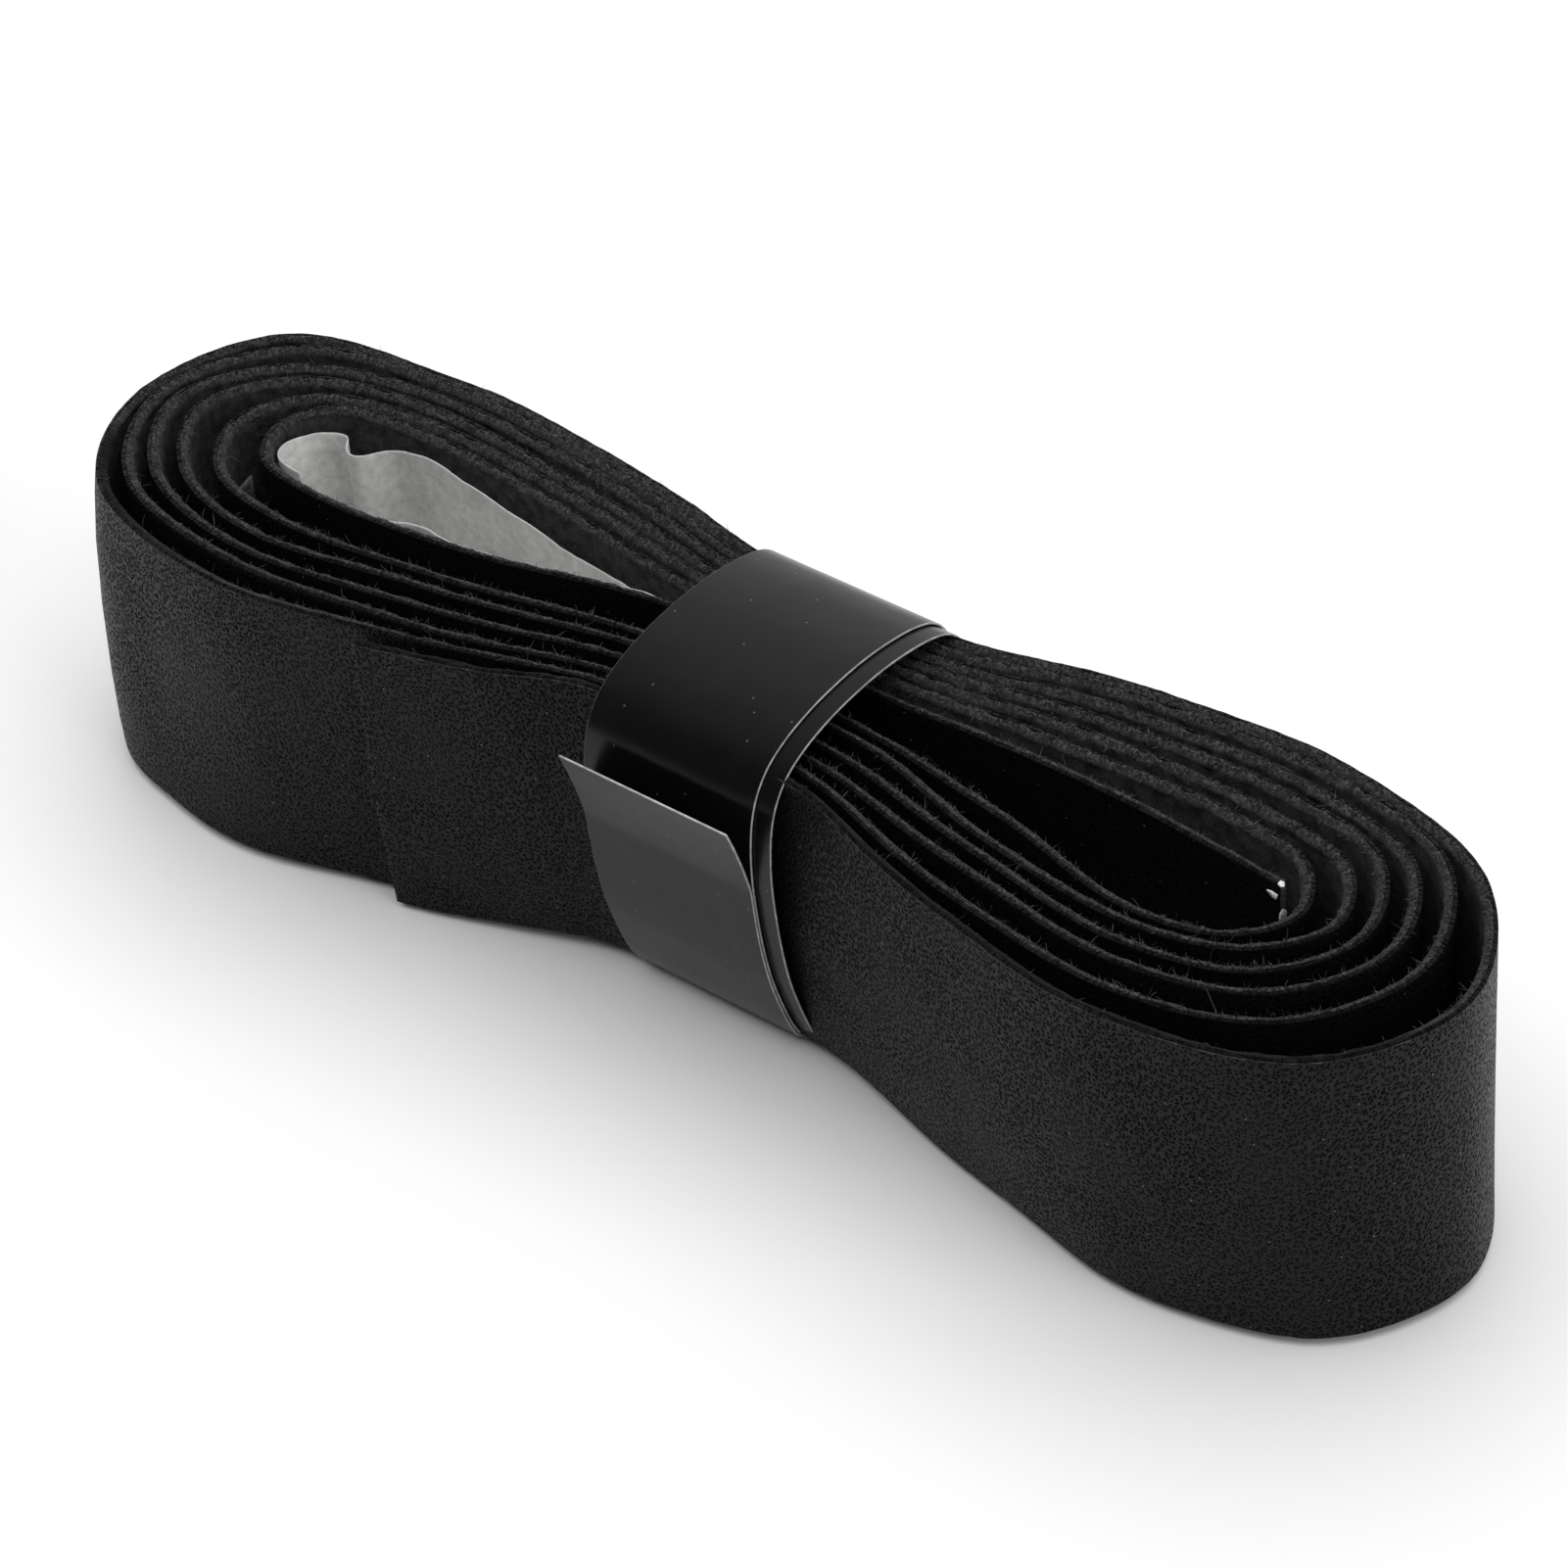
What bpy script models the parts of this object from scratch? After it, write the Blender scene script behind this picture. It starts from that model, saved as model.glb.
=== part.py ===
"""Grip tape roll for rackets.

A soft strip, a smooth skin laminated to a fibre backing, stands on its edge and is wound flat
into a long loop. A finishing tape wrapped twice around the middle pinches the turns together.
The tape's last few millimetres stand away as a pull tab, the strip's outer end is a free tail,
its inner end is free inside the right loop, and a release liner covers an adhesive patch inside
the left loop.

Frame: metres, +Z up. X runs along the roll, the tail and the pull tab are on the -Y side, and
the origin is on the resting plane under the middle of the roll. Lengths along X are given from
the middle of the pinched waist, which is WAIST_X to the right of the origin.
"""
import math

import bmesh
import bpy
from mathutils import Vector

MM = 0.001
COLLECTION = "grip_tape_roll"
WAIST_X = 1.3 * MM

# --- strip -----------------------------------------------------------------------------------
STRIP_WIDTH = 25.0 * MM
SKIN_THICKNESS = 0.30 * MM
BACKING_THICKNESS = 0.50 * MM
LAMINATION_GAP = 0.10 * MM
STRIP_THICKNESS = SKIN_THICKNESS + LAMINATION_GAP + BACKING_THICKNESS
REST_HEIGHT = 0.9 * MM          # the strip's lower edge above the resting plane, under the tape
ROOT_GAP = 0.3 * MM             # between the wound strip and each free end

# One row per bend, from the innermost to the outermost turn: where the turn's middle line has
# its tip (X), then its near side and its far side. Each side gives the Y where its flank leaves the
# pinch, the share of the bulge that the flank reaches half way, the Y of the bulge, and the
# exponent of the superellipse around the tip. Millimetres.
LEFT_BENDS = (
    (-48.6, (2.2, 0.73, -2.4, 2.40), (4.85, 0.70, 7.6, 2.50)),
    (-51.8, (-1.6, 0.66, -6.0, 2.10), (6.1, 0.70, 8.8, 2.05)),
    (-55.4, (-3.1, 0.56, -8.2, 1.90), (7.35, 0.70, 10.4, 2.05)),
    (-57.5, (-4.9, 0.60, -10.1, 1.95), (8.6, 0.70, 12.0, 2.10)),
    (-59.3, (-6.5, 0.68, -11.7, 2.05), (9.85, 0.70, 13.3, 2.40)),
    (-60.9, (-7.6, 0.59, -13.4, 2.20), (11.1, 0.70, 14.5, 2.90)),
)
RIGHT_BENDS = (
    (44.6, (-1.1, 0.42, -5.4, 2.10), (4.85, 0.84, 5.8, 2.40)),
    (47.3, (-2.5, 0.68, -6.7, 1.95), (6.1, 0.84, 7.7, 2.40)),
    (49.3, (-4.4, 0.61, -8.4, 2.00), (7.35, 0.84, 9.7, 2.35)),
    (51.6, (-6.2, 0.59, -10.3, 2.05), (8.6, 0.84, 11.4, 2.27)),
    (54.0, (-7.6, 0.67, -12.1, 2.00), (9.85, 0.84, 13.2, 2.20)),
    (57.9, (-9.0, 0.60, -14.4, 2.25), (11.1, 0.84, 14.5, 1.95)),
)
TURNS = len(LEFT_BENDS)

# For the innermost and the outermost turn, millimetres: X of a loop's widest place, and X where
# its flanks leave the pinch.
LEFT_WIDEST = (-41.0, -41.0)
RIGHT_WIDEST = (35.0, 39.0)
PINCH_REACH = (11.5, 9.5)
BEND_STEPS = 4                  # facets in each eighth of a turn around a tip
FLANK_STEPS = 2

# The free ends' middle lines (X, Y), millimetres; each root is hinged beside the tape.
INNER_END = ((42.0, 2.1), (36.0, 2.6), (24.0, 3.3))
INNER_ROOT = (9.6, 2.9)
TAIL_ROOT = (-9.6, -8.9)
TAIL_END = ((-15.5, -10.2), (-21.5, -11.55), (-27.3, -12.9))

# The outer turns have slipped down a little beside the tape, and the tail a little more.
OUTER_SAG = 0.5 * MM
TAIL_SAG = 0.8 * MM
OUTER_SAG_SPAN = (0.66, 0.80)   # shares of the strip's length over which each sag sets in
TAIL_SAG_SPAN = (0.94, 0.98)
SAG_SPAN_X = (9.0 * MM, 27.0 * MM)

# How far an edge leans in towards the waist's middle, as a share of its Y, at places along X.
WAIST_MIDDLE_Y = 1.1 * MM
UPPER_LEAN = ((-18.0, 0.0), (-8.0, 0.08), (8.0, 0.08), (18.0, 0.0))
LOWER_LEAN = ((-45.0, -0.06), (-27.0, 0.06), (-8.0, 0.18), (8.0, 0.18), (28.0, 0.12), (42.0, 0.05))

# --- finishing tape --------------------------------------------------------------------------
TAPE_WIDTH = 15.0 * MM
TAPE_THICKNESS = 0.20 * MM
TAPE_PITCH = 0.40 * MM          # from one wrap to the next, outwards
TAPE_WRAPS = 2
TAPE_MIDDLE_X = -0.5 * MM
TAPE_SHIFT = 1.6 * MM           # how far to the right the first wrap starts
TAPE_SHIFT_TURNS = 1.2          # turns over which the shift dies out
TAPE_NEAR_Y = -11.1 * MM
TAPE_FAR_Y = 13.0 * MM
TAPE_TOP = 27.5 * MM
TAPE_CROWN = 1.0 * MM           # the top arches up by this much between its corners
TAPE_CORNER = 3.6 * MM
TAPE_STEP_SPAN = (0.42, 0.58)   # share of a turn over which the tape climbs onto its last wrap
FOOT_LEAN = 1.0 * MM            # the near wall leans in towards its foot
FOOT_HEIGHT = 12.0 * MM
START_Z = 19.0 * MM             # the tape's hidden start on the near side
CREASE_Z = 16.6 * MM            # where the pull tab starts
CORNER_STEPS = 4
CROWN_KNOTS = (-0.4, 0.0, 0.4)  # along the top, as shares of its half length
WALL_KNOTS = (0.65, 0.35)       # down the far wall, as shares of its height

TAB_LENGTH = 7.0 * MM
TAB_LEAN = math.radians(16.0)
TAB_BEND = 0.3                  # share of the lean that builds up along the tab
TAB_GAP = 0.3 * MM
TAB_STEPS = 4

# --- liner and adhesive ----------------------------------------------------------------------
LINER_WIDTH = 21.5 * MM
LINER_LIFT = 0.8 * MM           # the liner's lower edge above the strip's
LINER_THICKNESS = 0.20 * MM
ADHESIVE_WIDTH = 18.0 * MM
ADHESIVE_THICKNESS = 0.12 * MM
PATCH_GAP = 0.15 * MM
# The liner's crumple inside the bend (X, Y), from its near side to its far side. Millimetres.
LINER_FOLD = ((-45.6, -0.2), (-47.0, 2.2), (-46.7, 4.2), (-45.2, 5.2), (-43.5, 4.4), (-42.3, 5.9))
FOLD_STEPS = 3

SHARP_ANGLE = math.radians(40.0)


# --- curves ----------------------------------------------------------------------------------
def smooth(value, span=(0.0, 1.0)):
    """Zero before the span, one after it, and a smooth rise between."""
    share = min(max((value - span[0]) / (span[1] - span[0]), 0.0), 1.0)
    return share * share * (3.0 - 2.0 * share)


def between(pair, share):
    return pair[0] + (pair[1] - pair[0]) * share


def catmull_rom(points, steps):
    """A smooth curve through 2-D points, with steps[i] facets between points i and i + 1."""
    padded = [points[0] * 2 - points[1], *points, points[-1] * 2 - points[-2]]
    curve = []
    for i, count in enumerate(steps):
        p0, p1, p2, p3 = padded[i:i + 4]
        t0 = 0.0
        t1 = t0 + math.sqrt((p1 - p0).length)
        t2 = t1 + math.sqrt((p2 - p1).length)
        t3 = t2 + math.sqrt((p3 - p2).length)
        for k in range(count):
            t = t1 + (t2 - t1) * k / count
            a1 = p0.lerp(p1, (t - t0) / (t1 - t0))
            a2 = p1.lerp(p2, (t - t1) / (t2 - t1))
            a3 = p2.lerp(p3, (t - t2) / (t3 - t2))
            b1 = a1.lerp(a2, (t - t0) / (t2 - t0))
            b2 = a2.lerp(a3, (t - t1) / (t3 - t1))
            curve.append(b1.lerp(b2, (t - t1) / (t2 - t1)))
    curve.append(points[-1].copy())
    return curve


def left_normals(curve):
    """Unit vectors to the left of the way that a 2-D curve runs."""
    normals = []
    for i in range(len(curve)):
        before = curve[max(i - 1, 0)]
        after = curve[min(i + 1, len(curve) - 1)]
        tangent = (after - before).normalized()
        normals.append(Vector((-tangent.y, tangent.x)))
    return normals


def lean_in(x, y, level):
    """Y of a point of the strip at a level from 0, its lower edge, to 1, its upper edge."""
    places = LOWER_LEAN if level < 0.5 else UPPER_LEAN
    lean = places[0][1]
    for (start, here), (end, there) in zip(places, places[1:]):
        lean += (there - here) * smooth(x, (start * MM, end * MM))
    share = lean * abs(2.0 * level - 1.0)
    return WAIST_MIDDLE_Y + (y - WAIST_MIDDLE_Y) * (1.0 - share)


def tip_knots(tip, widest, enter, leave):
    """Five knots on half a superellipse, from the widest place around the tip and back.

    Enter and leave each give the Y of a bulge and the exponent on its side of the tip.
    """
    middle_y = (enter[0] + leave[0]) / 2
    half = (enter[0] - leave[0]) / 2
    knots = []
    for k in range(5):
        angle = math.radians(45.0 * k)
        power = 2.0 / (enter if k < 3 else leave)[1]
        along = math.sin(angle) ** power
        across = math.copysign(abs(math.cos(angle)) ** power, math.cos(angle))
        knots.append((widest + (tip - widest) * along, middle_y + half * across))
    return knots


def bend_knots(bend, widest_pair, turn):
    """Knots (x, y, steps) of one bend, from the pinch around the tip and back to the pinch."""
    tip, near, far = bend
    enter, leave = (near, far) if tip < 0 else (far, near)
    share = turn / (TURNS - 1)
    widest = between(widest_pair, share)
    pinch = math.copysign(between(PINCH_REACH, share), tip)
    middle = (pinch + widest) / 2
    into, out = ((pinch, side[0], FLANK_STEPS) for side in (enter, leave))
    halfway_in, halfway_out = (
        (middle, between((crossing, bulge), ease), FLANK_STEPS)
        for crossing, ease, bulge, _ in (enter, leave)
    )
    tip_line = [(x, y, BEND_STEPS) for x, y in tip_knots(tip, widest, enter[2:], leave[2:])]
    tip_line[-1] = (widest, leave[2], FLANK_STEPS)
    return [into, halfway_in, *tip_line, halfway_out, out]


class Winding:
    """The strip's middle line in plan, from its inner end to the end of its tail.

    Its left side is the strip's outer side. The marks are places along it: the roots of the two
    free ends, and parts of the innermost left bend.
    """

    def __init__(self):
        knots = [(x, y, FLANK_STEPS) for x, y in INNER_END]
        knot_marks = {"inner_root": len(knots)}
        knots.append((*INNER_ROOT, 1))
        knot_marks["bend"] = len(knots)
        knot_marks["bend_near"] = len(knots) + 2
        knot_marks["bend_far"] = len(knots) + 6
        knot_marks["bend_end"] = len(knots) + 8
        for turn in range(TURNS):
            knots += bend_knots(LEFT_BENDS[turn], LEFT_WIDEST, turn)
            knots += bend_knots(RIGHT_BENDS[turn], RIGHT_WIDEST, turn)
        knot_marks["tail_root"] = len(knots)
        knots.append((*TAIL_ROOT, FLANK_STEPS))
        knots += [(x, y, FLANK_STEPS) for x, y in TAIL_END]

        steps = [count for _, _, count in knots[:-1]]
        self.curve = catmull_rom([Vector((x * MM, y * MM)) for x, y, _ in knots], steps)
        self.normals = left_normals(self.curve)
        self.marks = {name: sum(steps[:knot]) for name, knot in knot_marks.items()}
        self.last = len(self.curve) - 1

    def beside(self, station, offset):
        """The point at a distance to the outer side of the middle line."""
        return self.curve[station] + self.normals[station] * offset

    def sag(self, station):
        """How far the strip's lower edge has slipped down."""
        wound = station / self.last
        depth = OUTER_SAG * smooth(wound, OUTER_SAG_SPAN)
        depth += (TAIL_SAG - OUTER_SAG) * smooth(wound, TAIL_SAG_SPAN)
        return depth * smooth(abs(self.curve[station].x), SAG_SPAN_X)

    def rows(self, stations, offset, width):
        """Lower, middle and upper line of a sheet that stands centred on the strip's width."""
        foot = REST_HEIGHT + (STRIP_WIDTH - width) / 2
        rows = []
        for level in (0.0, 0.5, 1.0):
            row = []
            for station in stations:
                point = self.beside(station, offset)
                height = foot + width * level - self.sag(station)
                row.append((point.x, lean_in(point.x, point.y, level), height))
            rows.append(row)
        return rows

    def trimmed(self):
        """The same winding with its wound length stopping short of both free ends."""
        copy = Winding()
        copy.curve[self.marks["inner_root"]].x -= ROOT_GAP
        copy.curve[self.marks["tail_root"]].x += ROOT_GAP
        return copy


# --- Blender objects -------------------------------------------------------------------------
def clear_scene():
    for obj in list(bpy.data.objects):
        bpy.data.objects.remove(obj)


def make_collection(name):
    collection = bpy.data.collections.new(name)
    bpy.context.scene.collection.children.link(collection)
    return collection


def make_material(name, colour, roughness):
    material = bpy.data.materials.new(name)
    material.use_nodes = True
    shader = material.node_tree.nodes["Principled BSDF"]
    shader.inputs["Base Color"].default_value = (*colour, 1.0)
    shader.inputs["Roughness"].default_value = roughness
    shader.inputs["Metallic"].default_value = 0.0
    return material


def make_ribbon(name, rows, thickness, material, collection, pivot=Vector()):
    """A sheet with a thickness, skinned between lines that run from one end to the other.

    The first line is the right-hand edge of the sheet's face for someone who follows it with
    the other lines to the left. The thickness is behind that face. The object's origin is at
    the pivot, which is given in the waist's frame like the lines.
    """
    mesh = bpy.data.meshes.new(name)
    sheet = bmesh.new()
    lines = [[sheet.verts.new(Vector(point) - pivot) for point in row] for row in rows]
    for line, next_line in zip(lines, lines[1:]):
        for i in range(len(line) - 1):
            sheet.faces.new((line[i], line[i + 1], next_line[i + 1], next_line[i]))
    sheet.to_mesh(mesh)
    sheet.free()
    mesh.materials.append(material)
    mesh.shade_smooth()
    mesh.set_sharp_from_angle(angle=SHARP_ANGLE)
    ribbon = bpy.data.objects.new(name, mesh)
    ribbon.location = pivot + Vector((WAIST_X, 0.0, 0.0))
    collection.objects.link(ribbon)
    solid = ribbon.modifiers.new("thickness", "SOLIDIFY")
    solid.thickness = thickness
    solid.offset = -1.0
    solid.use_even_offset = True


# --- strip -----------------------------------------------------------------------------------
def make_strip_length(name, winding, stations, materials, collection, pivot=Vector()):
    """One length of the strip: the skin on its outer side, the backing on its inner side."""
    outside = STRIP_THICKNESS / 2
    inside = outside - SKIN_THICKNESS - LAMINATION_GAP
    skin = winding.rows(stations, outside, STRIP_WIDTH)[::-1]
    make_ribbon(name + "_skin", skin, SKIN_THICKNESS, materials["skin"], collection, pivot)
    backing = winding.rows(stations, inside, STRIP_WIDTH)[::-1]
    make_ribbon(name + "_backing", backing, BACKING_THICKNESS, materials["backing"], collection, pivot)


def make_strip(winding, materials, collection):
    """The wound length, and the two free ends with their origins on their hinge lines."""
    inner_root = winding.marks["inner_root"]
    tail_root = winding.marks["tail_root"]
    wound = range(inner_root, tail_root + 1)
    make_strip_length("grip_strip", winding.trimmed(), wound, materials, collection)

    inner_hinge = winding.curve[inner_root].to_3d()
    make_strip_length("inner_end", winding, range(inner_root + 1), materials, collection, inner_hinge)

    tail = range(tail_root, winding.last + 1)
    tail_hinge = winding.beside(tail_root, STRIP_THICKNESS / 2).to_3d()
    make_strip_length("outer_tail", winding, tail, materials, collection, tail_hinge)


# --- adhesive and liner ----------------------------------------------------------------------
def make_adhesive(winding, material, collection):
    """The patch on the backing, along the far side of the innermost left bend."""
    stations = range(winding.marks["bend_far"], winding.marks["bend_end"])
    rows = winding.rows(stations, -STRIP_THICKNESS / 2 - PATCH_GAP, ADHESIVE_WIDTH)[::-1]
    make_ribbon("adhesive_patch", rows, ADHESIVE_THICKNESS, material, collection)


def make_liner(winding, material, collection):
    """The liner: along the near side of the bend, crumpled in its tip, then over the adhesive."""
    marks = winding.marks
    near_depth = STRIP_THICKNESS / 2 + PATCH_GAP
    far_depth = near_depth + ADHESIVE_THICKNESS + PATCH_GAP
    near_stations = range(marks["bend"] + 1, marks["bend_near"] + FLANK_STEPS)
    far_stations = range(marks["bend_far"] + 1, marks["bend_end"] + 1)
    near = [winding.beside(station, -near_depth) for station in near_stations]
    far = [winding.beside(station, -far_depth) for station in far_stations]
    fold = [Vector((x * MM, y * MM)) for x, y in LINER_FOLD]
    knots = [near[-1], *fold, far[0]]
    crumple = catmull_rom(knots, [FOLD_STEPS] * (len(knots) - 1))
    path = [*near[:-1], *crumple, *far[1:]]
    rows = []
    for level in (1.0, 0.5, 0.0):
        height = REST_HEIGHT + LINER_LIFT + LINER_WIDTH * level
        rows.append([(point.x, lean_in(point.x, point.y, level), height) for point in path])
    make_ribbon("release_liner", rows, LINER_THICKNESS, material, collection)


# --- finishing tape --------------------------------------------------------------------------
def tape_line():
    """One turn of the tape's outer face as (Y, Z) points, up the near side from its start."""
    middle = (TAPE_NEAR_Y + TAPE_FAR_Y) / 2
    half = (TAPE_FAR_Y - TAPE_NEAR_Y) / 2
    corners = (
        (TAPE_NEAR_Y + TAPE_CORNER, TAPE_TOP - TAPE_CORNER),
        (TAPE_FAR_Y - TAPE_CORNER, TAPE_TOP - TAPE_CORNER),
        (TAPE_FAR_Y - TAPE_CORNER, TAPE_CORNER),
        (TAPE_NEAR_Y + TAPE_CORNER, TAPE_CORNER),
    )
    walls = (
        [(middle + half * share, TAPE_TOP) for share in CROWN_KNOTS],
        [(TAPE_FAR_Y, TAPE_TOP * share) for share in WALL_KNOTS],
        [],
        [(TAPE_NEAR_Y, CREASE_Z / 2), (TAPE_NEAR_Y, CREASE_Z)],
    )
    line = [Vector((TAPE_NEAR_Y, START_Z))]
    for quarter, ((y, z), wall) in enumerate(zip(corners, walls)):
        for k in range(CORNER_STEPS + 1):
            angle = math.radians(180.0 - 90.0 * (quarter + k / CORNER_STEPS))
            line.append(Vector((y + TAPE_CORNER * math.cos(angle), z + TAPE_CORNER * math.sin(angle))))
        line += [Vector(point) for point in wall]
    for point in line:
        y, z = point
        foot = max(0.0, 1.0 - z / FOOT_HEIGHT) if y < middle else 0.0
        arch = smooth(z, (TAPE_TOP - TAPE_CORNER, TAPE_TOP)) * (1.0 - ((y - middle) / half) ** 2)
        point.x += FOOT_LEAN * foot * foot
        point.y += TAPE_CROWN * arch
    return line


def tape_path():
    """The tape's middle line, from its hidden start to the crease of the pull tab."""
    line = tape_line()
    normals = left_normals([line[-1], *line, line[0]])[1:-1]
    path = []
    for wrap in range(TAPE_WRAPS):
        for i, (point, normal) in enumerate(zip(line, normals)):
            turn = i / len(line)
            inset = TAPE_PITCH * (TAPE_WRAPS - wrap - smooth(turn, TAPE_STEP_SPAN))
            shift = TAPE_SHIFT * (1.0 - smooth((wrap + turn) / TAPE_SHIFT_TURNS))
            flat = point - normal * inset
            path.append(Vector((TAPE_MIDDLE_X + shift, flat.x, flat.y)))
    return path


def make_tape(material, collection):
    """The wrapped tape, and its free end as the pull tab with its origin on the crease."""
    path = tape_path()
    half = Vector((TAPE_WIDTH / 2, 0.0, 0.0))
    rows = [[point + half for point in path], [point - half for point in path]]
    make_ribbon("finishing_tape", rows, TAPE_THICKNESS, material, collection)

    root = path[-1]
    tab = []
    for k in range(TAB_STEPS + 1):
        share = k / TAB_STEPS
        out = TAB_LENGTH * share * math.sin(TAB_LEAN) * (1.0 - TAB_BEND + TAB_BEND * share)
        up = TAB_LENGTH * share * math.cos(TAB_LEAN)
        tab.append(root + Vector((0.0, -out, TAB_GAP + up)))
    rows = [[point + half for point in tab], [point - half for point in tab]]
    crease = root + Vector((0.0, TAPE_THICKNESS / 2, TAB_GAP / 2))
    make_ribbon("pull_tab", rows, TAPE_THICKNESS, material, collection, crease)


def main():
    clear_scene()
    collection = make_collection(COLLECTION)
    materials = {
        "skin": make_material("strip_skin", (0.012, 0.012, 0.013), 0.55),
        "backing": make_material("strip_backing", (0.035, 0.035, 0.037), 0.95),
        "adhesive": make_material("adhesive", (0.55, 0.54, 0.50), 0.35),
        "liner": make_material("liner_paper", (0.62, 0.61, 0.60), 0.60),
        "tape": make_material("tape_film", (0.010, 0.010, 0.011), 0.18),
    }
    winding = Winding()
    make_strip(winding, materials, collection)
    make_adhesive(winding, materials["adhesive"], collection)
    make_liner(winding, materials["liner"], collection)
    make_tape(materials["tape"], collection)


main()
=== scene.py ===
"""Looks of the grip tape roll.

The strip is swept along the same winding as the CAD solids, finely enough for rough cut edges,
and loose fibres grow from its backing. The finishing tape, its pull tab and the crumpled liner
are swept the same way. Each replaces its CAD node; the adhesive patch is shown as packed.

Plan positions are in millimetres from the middle of the pinched waist, heights from the floor.
"""
import math

import bpy
import numpy as np
from mathutils import Matrix, Vector


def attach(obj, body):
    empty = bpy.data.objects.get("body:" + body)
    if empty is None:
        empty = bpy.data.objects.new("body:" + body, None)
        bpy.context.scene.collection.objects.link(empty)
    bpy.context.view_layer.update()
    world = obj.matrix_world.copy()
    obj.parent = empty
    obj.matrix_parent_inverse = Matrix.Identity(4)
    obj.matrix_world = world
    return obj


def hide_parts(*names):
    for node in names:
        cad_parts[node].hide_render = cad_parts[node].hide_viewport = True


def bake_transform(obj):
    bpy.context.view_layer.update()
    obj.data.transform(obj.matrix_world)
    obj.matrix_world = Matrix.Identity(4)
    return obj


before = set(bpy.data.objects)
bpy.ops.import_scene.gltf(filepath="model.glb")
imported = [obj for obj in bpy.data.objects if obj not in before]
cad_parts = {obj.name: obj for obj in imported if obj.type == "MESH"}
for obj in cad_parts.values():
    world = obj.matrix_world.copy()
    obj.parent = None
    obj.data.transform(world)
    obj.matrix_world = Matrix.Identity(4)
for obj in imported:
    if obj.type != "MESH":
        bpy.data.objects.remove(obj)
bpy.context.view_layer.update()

MM = 0.001
WAIST_X = 1.3  # the waist's middle is this far to the right of the origin

# --- strip: the winding of the CAD solids ---
STRIP_WIDTH = 25.0
SKIN_THICKNESS = 0.30
STRIP_THICKNESS = 0.90
REST_HEIGHT = 0.9  # of the strip's foot at the waist, before it sags
# One row per bend, innermost first: X of its tip, then its near side and its far side, each with
# the Y where its flank leaves the pinch, the share of the bulge that the flank reaches half way,
# the Y of the bulge, and the exponent of the superellipse around the tip.
LEFT_BENDS = (
    (-48.6, (2.2, 0.73, -2.4, 2.40), (4.85, 0.70, 7.6, 2.50)),
    (-51.8, (-1.6, 0.66, -6.0, 2.10), (6.1, 0.70, 8.8, 2.05)),
    (-55.4, (-3.1, 0.56, -8.2, 1.90), (7.35, 0.70, 10.4, 2.05)),
    (-57.5, (-4.9, 0.60, -10.1, 1.95), (8.6, 0.70, 12.0, 2.10)),
    (-59.3, (-6.5, 0.68, -11.7, 2.05), (9.85, 0.70, 13.3, 2.40)),
    (-60.9, (-7.6, 0.59, -13.4, 2.20), (11.1, 0.70, 14.5, 2.90)),
)
RIGHT_BENDS = (
    (44.6, (-1.1, 0.42, -5.4, 2.10), (4.85, 0.84, 5.8, 2.40)),
    (47.3, (-2.5, 0.68, -6.7, 1.95), (6.1, 0.84, 7.7, 2.40)),
    (49.3, (-4.4, 0.61, -8.4, 2.00), (7.35, 0.84, 9.7, 2.35)),
    (51.6, (-6.2, 0.59, -10.3, 2.05), (8.6, 0.84, 11.4, 2.27)),
    (54.0, (-7.6, 0.67, -12.1, 2.00), (9.85, 0.84, 13.2, 2.20)),
    (57.9, (-9.0, 0.60, -14.4, 2.25), (11.1, 0.84, 14.5, 1.95)),
)
TURNS = len(LEFT_BENDS)
LEFT_WIDEST = (-41.0, -41.0)  # X where the innermost and the outermost bend are widest
RIGHT_WIDEST = (35.0, 39.0)
PINCH_REACH = (11.5, 9.5)  # where their flanks leave the pinch, to either side of the waist
TIP_KNOTS = 5
# The free ends, and where they leave the tape.
INNER_END = ((42.0, 2.1), (36.0, 2.6), (24.0, 3.3))
INNER_ROOT = (9.6, 2.9)
TAIL_ROOT = (-9.6, -8.9)
TAIL_END = ((-15.5, -10.2), (-21.5, -11.55), (-27.3, -12.9))

OUTER_SAG, TAIL_SAG = 0.5, 0.8  # the outer turns and the tail sink to the floor
OUTER_SAG_SPAN = (0.66, 0.80)  # shares of the length over which each sets in
TAIL_SAG_SPAN = (0.94, 0.98)
SAG_SPAN_X = (9.0, 27.0)
WAIST_MIDDLE_Y = 1.1
# How far the strip's upper and lower edge lean in towards that, as (X, share).
UPPER_LEAN = ((-18.0, 0.0), (-8.0, 0.08), (8.0, 0.08), (18.0, 0.0))
LOWER_LEAN = ((-45.0, -0.06), (-27.0, 0.06), (-8.0, 0.18), (8.0, 0.18), (28.0, 0.12), (42.0, 0.05))
LEAN_CURVE = 1.5  # the strip bows in towards its edges instead of folding

# The outermost turn stands out below its upper edge: X over which that sets in at each tip, and
# how far it reaches, at the height where the left tip is widest and at the right tip's foot.
LEFT_BOW_X, LEFT_BOW, LEFT_BOW_LEVEL = (-58.5, -48.0), 1.5, 0.35
RIGHT_BOW_X, RIGHT_BOW, RIGHT_BOW_CURVE = (47.0, 56.0), 0.4, 3

CURVE_STEPS = 24  # facets between two knots before the curve is respaced
STATION_STEP = 0.4  # along the strip
SEAM_TAIL_X = -4.0  # where the free ends' pieces start, under the tape
SEAM_INNER_X = 3.0

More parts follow.
